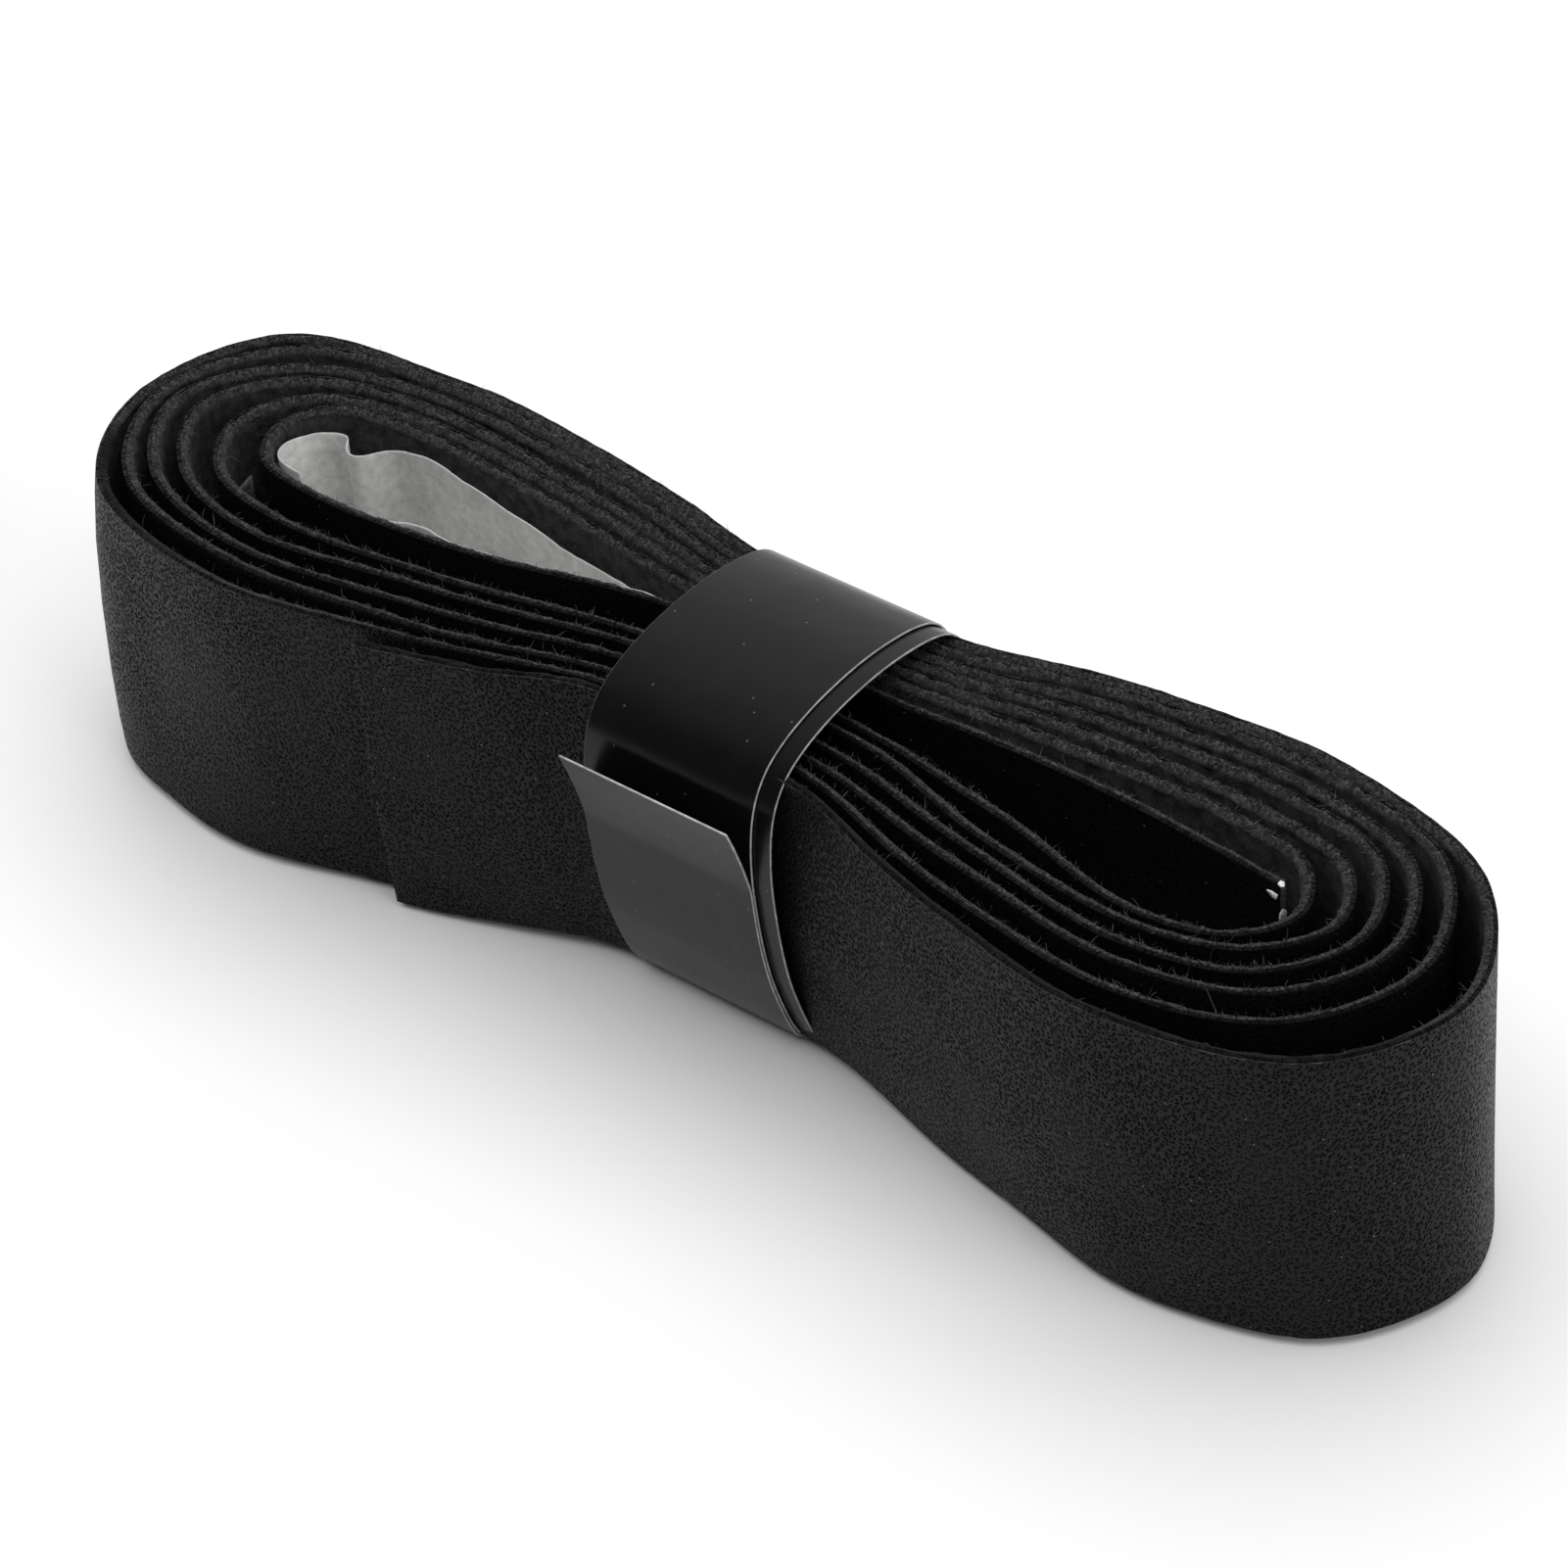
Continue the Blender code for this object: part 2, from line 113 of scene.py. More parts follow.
# --- cut edges and fibres ---
EDGE_WANDER = 0.16  # slow rise and fall of a cut edge
EDGE_WANDER_CELL, EDGE_WANDER_SEED = 14.0, 1
FOOT_WANDER = -0.5  # the lower edge's share of it
EDGE_SWAY = 0.10  # the edge's slow wave to either side
EDGE_SWAY_CELL, EDGE_SWAY_SEEDS = 9.0, (2, 3)
EDGE_REACH = 8  # power with which both die away from the edge
EDGE_FRAY = 0.11  # the backing's roughness along a cut edge
SKIN_FRAY = 0.03
FRAY_CELLS = (0.8, 0.4)  # its coarse and its fine part
FINE_FRAY = 0.7
FINE_SEEDS = 50  # the fine part's seeds follow this far after the coarse part's
FRAY_SIDEWAYS, OPEN_SIDEWAYS = 0.15, 0.5  # its share sideways, and at the backing's open face
EDGE_SHARES = (0.0, 0.18, 0.48, 0.78, 1.0)  # across a layer's cut edge, from outside
BACKING_DROP = 0.34  # a backing's cut edge is rounded off towards its open face
BACKING_DROP_CURVE = 2.5
SKIN_DROP = 0.07
OPEN_FACE_SHADE = 0.6  # how much darker the backing's cut edge gets towards that face
SKIN_SHADE = 0.8  # how dark the skin's cut edge is: its own black, partly painted shade
# Heights of the rows of points over a layer's faces.
SKIN_ROWS = (0.12, 0.8, 2.5, 6.5, 12.5, 18.5, 22.5, 24.2, 24.88)
BACKING_ROWS = (0.5, 1.0, 2.5, 6.5, 12.5, 18.5, 22.5, 24.0, 24.5)
OUTER_TURN_SPAN = (0.815, 0.835)  # shares of the length over which the outermost turn begins
NEAR_SIDE_Y = (-6.0, -1.0)  # from wholly on the near side to not at all
FIBRE_WIDTH = 0.046  # at its root
FIBRE_TAPER = 0.65
FIBRE_JOINTS = 4
FIBRE_CURL, FIBRE_KINK = 0.55, 0.25  # an even curl, and a chance one at each joint
FIBRE_OUTWARD, FIBRE_RISE = 0.8, 0.45  # how much they head sideways and up, to 1 along
FIBRE_SPREAD = 0.6  # under 1, more of them near the open face
FIBRE_LEAST = 0.12
FIBRE_LENGTHS = (3.0, 0.11)  # gamma distribution of what comes on top
FIBRE_TONES = (1.5, 2.6)  # beta distribution
TOP_FIBRES_PER_MM = 13.0
FOOT_FIBRES_PER_MM = 1.5
FIBRE_ROOT_DEPTH = 0.04
BUNCH_CELLS = (3.0, 0.9)  # fibres stand in bunches: one grows where these two waves' sum
BUNCH_CHANCE = (-1.6, 1.0)  # is above a chance value in this range
BUNCH_SEEDS = 7
LOOK_AHEAD = 0.1  # to the point that shows which way the strip runs
TUCKED_BARE = 0.85  # share of fibres missing where the outermost turn is tucked in
STRAY_SHARE = 0.035  # share of much longer fibres
STRAY_LENGTH = (0.4, 1.1)
FLOOR_CLEARANCE = 0.06
TAPE_COVER_X = (-7.0, 6.0)  # no fibres grow where the tape hides them
STRIP_SEEDS = {"wound": 1000, "inner_length": 2000, "tail_length": 3000}
BACKING_SEEDS, FIBRE_SEEDS = 200, 400

# --- finishing tape ---
TAPE_WIDTH = 15.0
TAPE_THICKNESS = 0.15
TAPE_PITCH = 0.24  # from one wrap to the next
TAPE_TURNS = 2.2
TAPE_MIDDLE_X = -0.5
TAPE_SHIFT = 1.55  # how far the innermost wrap sits to the right
TAPE_SHIFT_SPAN = (0.72, 1.0)  # turns over which the tape comes back to its middle
TAPE_CURVE_STEPS = 8
TAPE_STEP = 0.5
TAB_SEAM_STEPS = 4  # the tab's piece starts this far before the end of the second turn
CUT_EDGE_STEP = 0.06  # share of a step from the tab's cut end to the ring before it
# The outermost wrap's face (Y, Z), from the near foot up, over the top and down the far side.
TAPE_FACE = (
    (-7.75, 1.0), (-8.5, 2.6), (-9.45, 5.4), (-10.25, 8.4), (-10.8, 11.8), (-11.1, 15.0),
    (-11.25, 18.0), (-11.1, 20.8), (-10.65, 23.2), (-9.85, 25.0), (-8.5, 26.5), (-6.4, 27.6),
    (-3.6, 28.35), (-0.6, 28.7), (2.4, 28.75), (5.4, 28.45), (8.0, 27.9), (10.1, 27.0),
    (11.5, 25.5), (12.2, 23.0), (12.55, 18.5), (12.65, 13.5), (12.2, 8.5), (11.4, 4.2),
    (10.5, 1.4), (9.4, 0.45), (7.0, 0.25), (1.0, 0.25), (-5.0, 0.27), (-6.9, 0.45),
)
CREASE_Z = 16.6
TAB_TOP_Z = 23.6
TAB_OUT = 2.0  # how far the tab's cut end stands off
TAB_CURVE = 0.28  # the share of that by which it curls away
TAB_FACETS = 14
# Places around a band's section: side from -1 to 1, depth in thicknesses, and 1 on the cut edges.
BAND_SECTION = (
    (-1.0, 0.5, 1.0), (-0.998, 0.5, 0.0), (-0.6, 0.5, 0.0), (0.0, 0.5, 0.0), (0.6, 0.5, 0.0),
    (0.990, 0.5, 0.0), (1.0, 0.5, 1.0), (1.0, -0.5, 1.0), (0.990, -0.5, 0.0),
    (0.0, -0.5, 0.0), (-0.998, -0.5, 0.0), (-1.0, -0.5, 1.0),
)

# --- liner ---
LINER_WIDTH = 21.5
LINER_THICKNESS = 0.10
LINER_CURVE_STEPS = 12
LINER_STEP = 0.3
LINER_ROWS = 14  # evenly spaced ones, from the foot to the first of the last rows
LINER_LAST_ROWS = (0.93, 0.993, 1.0)
# Reach, cell, slant and seed of the creases and wrinkles; reach, cell and seed of the top's waves.
LINER_CREASES = (0.16, 4.0, 0.35, 11)
LINER_WRINKLES = (0.06, 1.7, -0.2, 12)
LINER_TOP_WAVES = ((0.10, 2.2, 13), (0.03, 0.6, 14))
LINER_FLAT_START = (0.0, 3.0)  # lengths over which the crumpling sets in
LINER_FOOT_CREASE = 0.25  # share of the creases' reach that is left at the foot
OUTER_FACE_PAINTED_LIGHT = 0.8  # painted light: how much whiter the liner's outer face is painted
CUT_EDGE_PAINTED_SHADE = -0.6  # painted shade: how much darker its lit upper cut edge is painted
# X, Y and the height of the upper edge: from the end inside the bend around its tip, over the
# adhesive to the pinch, and back along the near side.
LINER_ROUTE = (
    (-44.3, -0.2, 24.7), (-46.2, -0.3, 25.0), (-47.3, 0.3, 25.0), (-47.75, 1.6, 25.0),
    (-47.4, 3.3, 24.9), (-46.6, 4.6, 24.8), (-45.6, 5.4, 24.7), (-44.8, 5.55, 24.6),
    (-44.2, 5.2, 24.5), (-43.75, 4.6, 24.4), (-43.15, 4.35, 24.3), (-42.5, 4.7, 24.3),
    (-41.8, 5.5, 24.4), (-40.8, 6.3, 24.6), (-39.0, 6.65, 24.7), (-35.8, 6.45, 24.6),
    (-31.4, 6.05, 24.5), (-27.1, 5.5, 24.1),
    (-23.1, 5.1, 23.4), (-18.8, 4.55, 23.6), (-14.5, 4.1, 23.6), (-10.5, 3.95, 23.6),
    (-8.0, 3.85, 23.7), (-7.3, 3.5, 24.0), (-8.2, 3.2, 24.4), (-12.0, 3.05, 24.8),
    (-16.0, 2.2, 25.1), (-20.0, 1.1, 25.2), (-25.0, -0.15, 25.2), (-29.1, -0.75, 25.2),
    (-31.5, -0.35, 25.1), (-33.3, -0.55, 25.0), (-35.3, -1.2, 24.9), (-38.0, -1.55, 24.2),
    (-40.0, -1.65, 23.8),
)

# --- small bits ---
# Corners (X, Y, Z) of each paper scrap on the inner end, and of the film's corner.
PAPER_SCRAPS = (
    ((42.0, 1.7, 26.0), (42.3, 1.65, 25.9), (42.4, 1.9, 25.8), (42.25, 2.1, 25.95),
     (42.0, 2.0, 26.05)),
    ((41.2, 1.62, 25.15), (41.6, 1.52, 25.3), (42.1, 1.55, 25.15), (42.05, 1.5, 24.85),
     (41.7, 1.6, 24.75)),
    ((42.1, 1.7, 23.4), (42.2, 1.95, 23.7), (42.3, 2.2, 23.4), (42.25, 2.15, 22.7),
     (42.15, 1.85, 22.2), (42.1, 1.65, 22.7)),
)
CRUMPLE = 0.04  # how far a scrap's inner ring of points is moved at random
INNER_RING = 0.5  # that ring's size to the outline's
SCRAP_SEED, CORNER_SEED = 40, 50
FILM_CORNER = (
    (-46.98, -2.6, 25.0), (-47.15, -4.2, 24.4), (-47.1, -4.05, 22.4), (-46.98, -2.6, 22.0),
)
FILM_CORNER_TONE, FILM_CORNER_EDGE = 0.06, 0.20

# --- camera and light ---
# The camera's place in millimetres, and the directions of its axes. Floor and lights in metres.
CAMERA_AT = (196.6, -216.05, 257.9)
CAMERA_RIGHT = (0.77652, 0.62677, -0.06461)
CAMERA_UP = (-0.36388, 0.52979, 0.76611)
CAMERA_BACK = (0.51440, -0.57139, 0.63946)
CAMERA_LENS = 122.97
SENSOR = 36.0
CAMERA_RANGE = (0.01, 20.0)
STUDIO_BRIGHT_WAY = (-0.70, 0.70, -0.15)
STUDIO_RAMP = (-0.35, 0.95, 0.03, 0.95)  # cosines to that way, and the strengths there
FLOOR_SIZE, FLOOR_Z = 6.0, -0.0004
# Place, size and power of each light, which looks at the origin.
OVERHEAD_LIGHT = ((0.0, 0.0, 2.5), (4.0, 4.0), 88.0)
SIDE_LIGHT = ((2.4, 0.0, 1.0), (1.8, 1.8), 26.0)


# --- curves ---
def smooth(value, span=(0.0, 1.0)):
    """Zero before the span, one after it, and a smooth rise between."""
    share = np.clip((value - span[0]) / (span[1] - span[0]), 0.0, 1.0)
    return share * share * (3.0 - 2.0 * share)


def between(pair, share):
    return pair[0] + (pair[1] - pair[0]) * share


def wander(along, cell, seed):
    """Smooth chance values from -1 to 1 along a length, with a new one every cell."""
    grid = np.random.default_rng(seed).uniform(-1.0, 1.0, int(along.max() / cell) + 3)
    whole = np.floor(along / cell).astype(int)
    share = smooth(along / cell - whole)
    return grid[whole] * (1.0 - share) + grid[whole + 1] * share


def curve_through(knots, steps):
    """A smooth curve through points of any dimension, with as many facets between two knots."""
    points = np.array(knots, float)
    first = points[0] * 2 - points[1]
    last = points[-1] * 2 - points[-2]
    padded = np.vstack((first, points, last))
    share = (np.arange(steps) / steps)[:, None]
    pieces = []
    for p0, p1, p2, p3 in zip(padded, padded[1:], padded[2:], padded[3:]):
        t1 = math.sqrt(np.linalg.norm(p1 - p0))
        t2 = t1 + math.sqrt(np.linalg.norm(p2 - p1))
        t3 = t2 + math.sqrt(np.linalg.norm(p3 - p2))
        t = t1 + (t2 - t1) * share
        a1 = p0 + (p1 - p0) * t / t1
        a2 = p1 + (p2 - p1) * (t - t1) / (t2 - t1)
        a3 = p2 + (p3 - p2) * (t - t2) / (t3 - t2)
        b1 = a1 + (a2 - a1) * t / t2
        b2 = a2 + (a3 - a2) * (t - t1) / (t3 - t1)
        pieces.append(b1 + (b2 - b1) * (t - t1) / (t2 - t1))
    pieces.append(points[-1:])
    return np.vstack(pieces)


def lengths_along(curve):
    """Distance of each point of a curve from its start."""
    return np.concatenate(([0.0], np.cumsum(np.linalg.norm(np.diff(curve, axis=0), axis=1))))


def respaced(curve, step):
    """The same curve with points at even spacing."""
    along = lengths_along(curve)
    even = np.linspace(0.0, along[-1], max(int(round(along[-1] / step)), 2) + 1)
    return np.stack([np.interp(even, along, column) for column in curve.T], 1)


def left_normals(curve):
    """Unit vectors to the left of the way that a 2-D curve runs."""
    tangents = np.gradient(curve, axis=0)
    tangents /= np.linalg.norm(tangents, axis=1)[:, None]
    return np.stack((-tangents[:, 1], tangents[:, 0]), 1)


def tip_knots(tip, widest, enter, leave):
    """Knots on half a superellipse, from the widest place around the tip and back.

    Enter and leave each give the Y of a bulge and the exponent on its side of the tip.
    """
    middle_y = (enter[0] + leave[0]) / 2
    half = (enter[0] - leave[0]) / 2
    knots = []
    for k in range(TIP_KNOTS):
        angle = math.radians(180.0 / (TIP_KNOTS - 1) * k)
        power = 2.0 / (enter if k <= TIP_KNOTS // 2 else leave)[1]
        along = math.sin(angle) ** power
        across = math.copysign(abs(math.cos(angle)) ** power, math.cos(angle))
        knots.append((widest + (tip - widest) * along, middle_y + half * across))
    return knots


def bend_knots(bend, widest_pair, turn):
    """Knots of one bend, from the pinch around the tip and back to the pinch."""
    tip, near, far = bend
    enter, leave = (near, far) if tip < 0 else (far, near)
    share = turn / (TURNS - 1)
    widest = between(widest_pair, share)
    pinch = math.copysign(between(PINCH_REACH, share), tip)
    middle = (pinch + widest) / 2
    into, out = ((pinch, side[0]) for side in (enter, leave))
    halfway_in, halfway_out = (
        (middle, between((crossing, bulge), ease)) for crossing, ease, bulge, _ in (enter, leave)
    )
    return [into, halfway_in, *tip_knots(tip, widest, enter[2:], leave[2:]), halfway_out, out]


def winding():
    """The strip's middle line in plan, from its inner end to its tail, at even spacing."""
    knots = [*INNER_END, INNER_ROOT]
    for turn in range(TURNS):
        knots += bend_knots(LEFT_BENDS[turn], LEFT_WIDEST, turn)
        knots += bend_knots(RIGHT_BENDS[turn], RIGHT_WIDEST, turn)
    knots += [TAIL_ROOT, *TAIL_END]
    return respaced(curve_through(knots, CURVE_STEPS), STATION_STEP)


def lean_at(x, places):
    """A lean at x, which changes smoothly from each place to the next."""
    lean = places[0][1]
    for (start, here), (end, there) in zip(places, places[1:]):
        lean = lean + (there - here) * smooth(x, (start, end))
    return lean


def lean_in(x, y, level):
    """Y of a point of the strip at a level from 0, its lower edge, to 1, its upper edge."""
    lean = np.where(level < 0.5, lean_at(x, LOWER_LEAN), lean_at(x, UPPER_LEAN))
    share = lean * np.abs(2.0 * level - 1.0) ** LEAN_CURVE
    return WAIST_MIDDLE_Y + (y - WAIST_MIDDLE_Y) * (1.0 - share)


class Strip:
    """The whole strip's middle line, and where a point beside it lies in space."""

    def __init__(self):
        self.line = winding()
        self.outward = left_normals(self.line)
        self.along = lengths_along(self.line)
        self.length = self.along[-1]
        wound = self.along / self.length
        sag = OUTER_SAG * smooth(wound, OUTER_SAG_SPAN)
        sag += (TAIL_SAG - OUTER_SAG) * smooth(wound, TAIL_SAG_SPAN)
        sag *= smooth(np.abs(self.line[:, 0]), SAG_SPAN_X)
        self.foot = REST_HEIGHT - sag
        outer = smooth(wound, OUTER_TURN_SPAN)
        self.tucked = outer * (1.0 - smooth(self.line[:, 1], NEAR_SIDE_Y))
        self.left_bow = outer * LEFT_BOW * (1.0 - smooth(self.line[:, 0], LEFT_BOW_X))
        self.right_bow = outer * RIGHT_BOW * smooth(self.line[:, 0], RIGHT_BOW_X)

    def crossing(self, x, last):
        """Length along the strip where it passes under the tape at x, first or last time."""
        near_half = self.along > self.length / 2 if last else self.along < self.length / 2
        hits = np.nonzero(np.diff(np.sign(self.line[:, 0] - x)) != 0)[0]
        hits = [i for i in hits if near_half[i]]
        return self.along[hits[-1] if last else hits[0]]

    def place(self, along, offset, height):
        """Points at lengths along the strip, offsets outward and heights above its foot."""
        known = (*self.line.T, *self.outward.T, self.foot, self.left_bow, self.right_bow)
        x, y, nx, ny, foot, left, right = (np.interp(along, self.along, row) for row in known)
        level = height / STRIP_WIDTH
        bow = left * (1.0 - ((level - LEFT_BOW_LEVEL) / (1.0 - LEFT_BOW_LEVEL)) ** 2)
        offset = offset + (bow + right * (1.0 - level) ** RIGHT_BOW_CURVE)
        x = x + nx * offset
        y = lean_in(x, y + ny * offset, level)
        return np.stack((x + WAIST_X, y, foot + height), -1) * MM


# --- meshes ---
def new_piece(name, vertices, faces, material, details=None, smooth_faces=True):
    """A mesh object. Details are the values that its material reads at each vertex."""
    mesh = bpy.data.meshes.new(name)
    mesh.from_pydata(vertices.tolist(), [], faces)
    if details is not None:
        layer = mesh.attributes.new("detail", "FLOAT_VECTOR", "POINT")
        layer.data.foreach_set("vector", details.astype(np.float32).ravel())
    mesh.materials.append(material)
    if smooth_faces:
        mesh.shade_smooth()
    piece = bpy.data.objects.new(name, mesh)
    bpy.context.scene.collection.objects.link(piece)
    return piece


def swept(name, points, details, material):
    """A closed body through rings of points, one ring per station, with a cap at each end."""
    stations, ring = points.shape[:2]
    start = np.arange(stations - 1)[:, None] * ring
    here = np.arange(ring)[None, :]
    there = (here + 1) % ring
    quads = np.stack((start + here, start + there, start + there + ring, start + here + ring), -1)
    faces = quads.reshape(-1, 4).tolist()
    faces.append(list(range(ring))[::-1])
    faces.append(list(range((stations - 1) * ring, stations * ring)))
    vertices = points.reshape(-1, 3)
    a, b, c = (vertices[quads.reshape(-1, 4)[:, k]] for k in (0, 1, 2))
    if np.einsum("ij,ij->i", a, np.cross(b, c)).sum() < 0:
        faces = [face[::-1] for face in faces]
    return new_piece(name, vertices, faces, material, details.reshape(-1, 3))


def detail_row(along, across, tone):
    """What a material reads along one row of points: where on the flat sheet, and a tone."""
    return np.stack((along, np.full_like(along, across), np.zeros_like(along) + tone), 1)


def strip_layer(strip, name, span, inside, outside, edges, rows, seed, material):
    """One layer of the strip between two offsets, over a span of its length.

    Edges are the cut edges' roughness, a function for how far they drop at a share of the way
    across, and one for how light they are there.
    """
    fray, drop, light = edges
    along = np.linspace(*span, int((span[1] - span[0]) / STATION_STEP) + 1)
    tucked = np.interp(along, strip.along, strip.tucked)
    section = [(0.0, height, False) for height in rows]
    section += [(share, STRIP_WIDTH, True) for share in EDGE_SHARES]
    section += [(1.0, height, False) for height in rows[::-1]]
    section += [(share, 0.0, True) for share in EDGE_SHARES[::-1]]
    wave = EDGE_WANDER * wander(along, EDGE_WANDER_CELL, EDGE_WANDER_SEED)
    coarse, fine = FRAY_CELLS
    points, details = [], []
    for k, (share, height, on_edge) in enumerate(section):
        finer = wander(along, fine, seed + FINE_SEEDS + k)
        rough = fray * (wander(along, coarse, seed + k) + FINE_FRAY * finer)
        up = 1.0 if height > STRIP_WIDTH / 2 else -1.0
        rise = wave * (1.0 if up > 0 else FOOT_WANDER)
        if on_edge:
            rise = rise + up * (rough - drop(share))
        level = height / STRIP_WIDTH
        near_edge = abs(2.0 * level - 1.0) ** EDGE_REACH
        sway_seed = EDGE_SWAY_SEEDS[0 if up > 0 else 1]
        sway = EDGE_SWAY * wander(along, EDGE_SWAY_CELL, sway_seed) * near_edge
        open_face = share == 1.0 and fray == EDGE_FRAY
        jitter = (OPEN_SIDEWAYS if open_face else FRAY_SIDEWAYS) * rough
        offset = outside + (inside - outside) * share
        points.append(strip.place(along, offset + sway + jitter, height + rise * near_edge))
        details.append(detail_row(along, height, light(share, tucked) if on_edge else 0.0))
    return swept(name, np.stack(points, 1), np.stack(details, 1), material)


def backing_drop(share):
    return BACKING_DROP * share ** BACKING_DROP_CURVE


def backing_light(share, tucked):
    """Darker towards the open face, and dark where the outermost turn tucks it in."""
    return (1.0 - OPEN_FACE_SHADE * share ** 2) * (1.0 - tucked) - tucked


def skin_drop(share):
    return SKIN_DROP * (1.0 - share) ** 2


def skin_light(share, tucked):
    """Dark, partly as painted shade, but for a light line along the outermost turn's corner."""
    corner = 1.0 if share == 0.0 else -1.0
    return corner * tucked - SKIN_SHADE * (1.0 - tucked)


def fibres(name, roots, directions, lengths, tones, seed, material):
    """Curling fibres, each a three-sided body that tapers from its root to a point."""
    rng = np.random.default_rng(seed)
    count = len(roots)
    point = roots.copy()
    heading = directions / np.linalg.norm(directions, axis=1)[:, None]
    curl = rng.normal(0.0, FIBRE_CURL, (count, 3))
    side = np.cross(heading, rng.normal(0.0, 1.0, (count, 3)))
    side /= np.linalg.norm(side, axis=1)[:, None]
    other = np.cross(heading, side)
    rings = []
    for k in range(FIBRE_JOINTS - 1):
        radius = FIBRE_WIDTH * MM / 2 * (1.0 - FIBRE_TAPER * k / (FIBRE_JOINTS - 1))
        for turn in (0.0, 2.0 * np.pi / 3.0, 4.0 * np.pi / 3.0):
            rings.append(point + (side * np.cos(turn) + other * np.sin(turn)) * radius)
        heading = heading + curl + rng.normal(0.0, FIBRE_KINK, (count, 3))
        heading /= np.linalg.norm(heading, axis=1)[:, None]
        point = point + heading * lengths[:, None] * MM / (FIBRE_JOINTS - 1)
    rings.append(point)
    vertices = np.stack(rings, 1).reshape(-1, 3)
    vertices[:, 2] = np.maximum(vertices[:, 2], FLOOR_CLEARANCE * MM)
    tip = 3 * (FIBRE_JOINTS - 1)
    sides = ((0, 1), (1, 2), (2, 0))
    one = [(2, 1, 0)]
    for k in range(0, tip - 3, 3):
        one += [(k + a, k + b, k + 3 + b, k + 3 + a) for a, b in sides]
    one += [(tip - 3 + a, tip - 3 + b, tip) for a, b in sides]
    starts = range(0, len(vertices), tip + 1)
    faces = [tuple(start + v for v in face) for start in starts for face in one]
    detail = np.repeat(np.stack((tones, tones, tones), 1), tip + 1, axis=0)
    return new_piece(name, vertices, faces, material, detail)


def edge_fibres(strip, name, span, seed, material):
    """Fibres along the backing's cut edges, over a span of the strip's length."""
    rng = np.random.default_rng(seed)
    roots, headings, reach = [], [], []
    for height, per_mm in ((STRIP_WIDTH, TOP_FIBRES_PER_MM), (0.0, FOOT_FIBRES_PER_MM)):
        count = int((span[1] - span[0]) * per_mm)
        along = rng.uniform(*span, count)
        seeds = (seed + BUNCH_SEEDS, seed + BUNCH_SEEDS + 1)
        bunch = sum(wander(along, *wave) for wave in zip(BUNCH_CELLS, seeds))
        x = np.interp(along, strip.along, strip.line[:, 0])
        shown = (x < TAPE_COVER_X[0]) | (x > TAPE_COVER_X[1])
        bare = TUCKED_BARE * np.interp(along, strip.along, strip.tucked)
        shown &= rng.uniform(0.0, 1.0, count) > bare
        along = along[shown & (rng.uniform(*BUNCH_CHANCE, count) < bunch)]
        count = len(along)
        share = rng.uniform(0.0, 1.0, count) ** FIBRE_SPREAD
        offset = STRIP_THICKNESS / 2 - SKIN_THICKNESS - (STRIP_THICKNESS - SKIN_THICKNESS) * share
        up = 1.0 if height else -1.0
        wave = EDGE_WANDER * wander(along, EDGE_WANDER_CELL, EDGE_WANDER_SEED)
        wave = wave * (1.0 if height else FOOT_WANDER)
        depth = FIBRE_ROOT_DEPTH + backing_drop(share)
        root = strip.place(along, offset, height - up * depth + wave)
        ahead = strip.place(along + LOOK_AHEAD, offset, np.full(count, height)) - root
        ahead /= np.linalg.norm(ahead, axis=1)[:, None]
        outward = np.stack((ahead[:, 1], -ahead[:, 0], np.zeros(count)), 1)
        mix = rng.normal(0.0, 1.0, (count, 3))
        upright = np.zeros((count, 3))
        upright[:, 2] = up * np.abs(mix[:, 2]) * FIBRE_RISE
        roots.append(root)
        headings.append(ahead * mix[:, :1] + outward * mix[:, 1:2] * FIBRE_OUTWARD + upright)
        stray = rng.uniform(0.0, 1.0, count) < STRAY_SHARE
        extra = rng.gamma(*FIBRE_LENGTHS, count)
        reach.append(extra + FIBRE_LEAST + stray * rng.uniform(*STRAY_LENGTH, count))
    roots, headings, reach = np.vstack(roots), np.vstack(headings), np.concatenate(reach)
    tones = rng.beta(*FIBRE_TONES, len(roots))
    return fibres(name, roots, headings, reach, tones, seed + 1, material)


# --- materials ---
# Colours are linear, and bump distances in millimetres. Noise and cell scales are per millimetre,
# but per metre on Nodes.place().
DUST_SCALE = 0.22


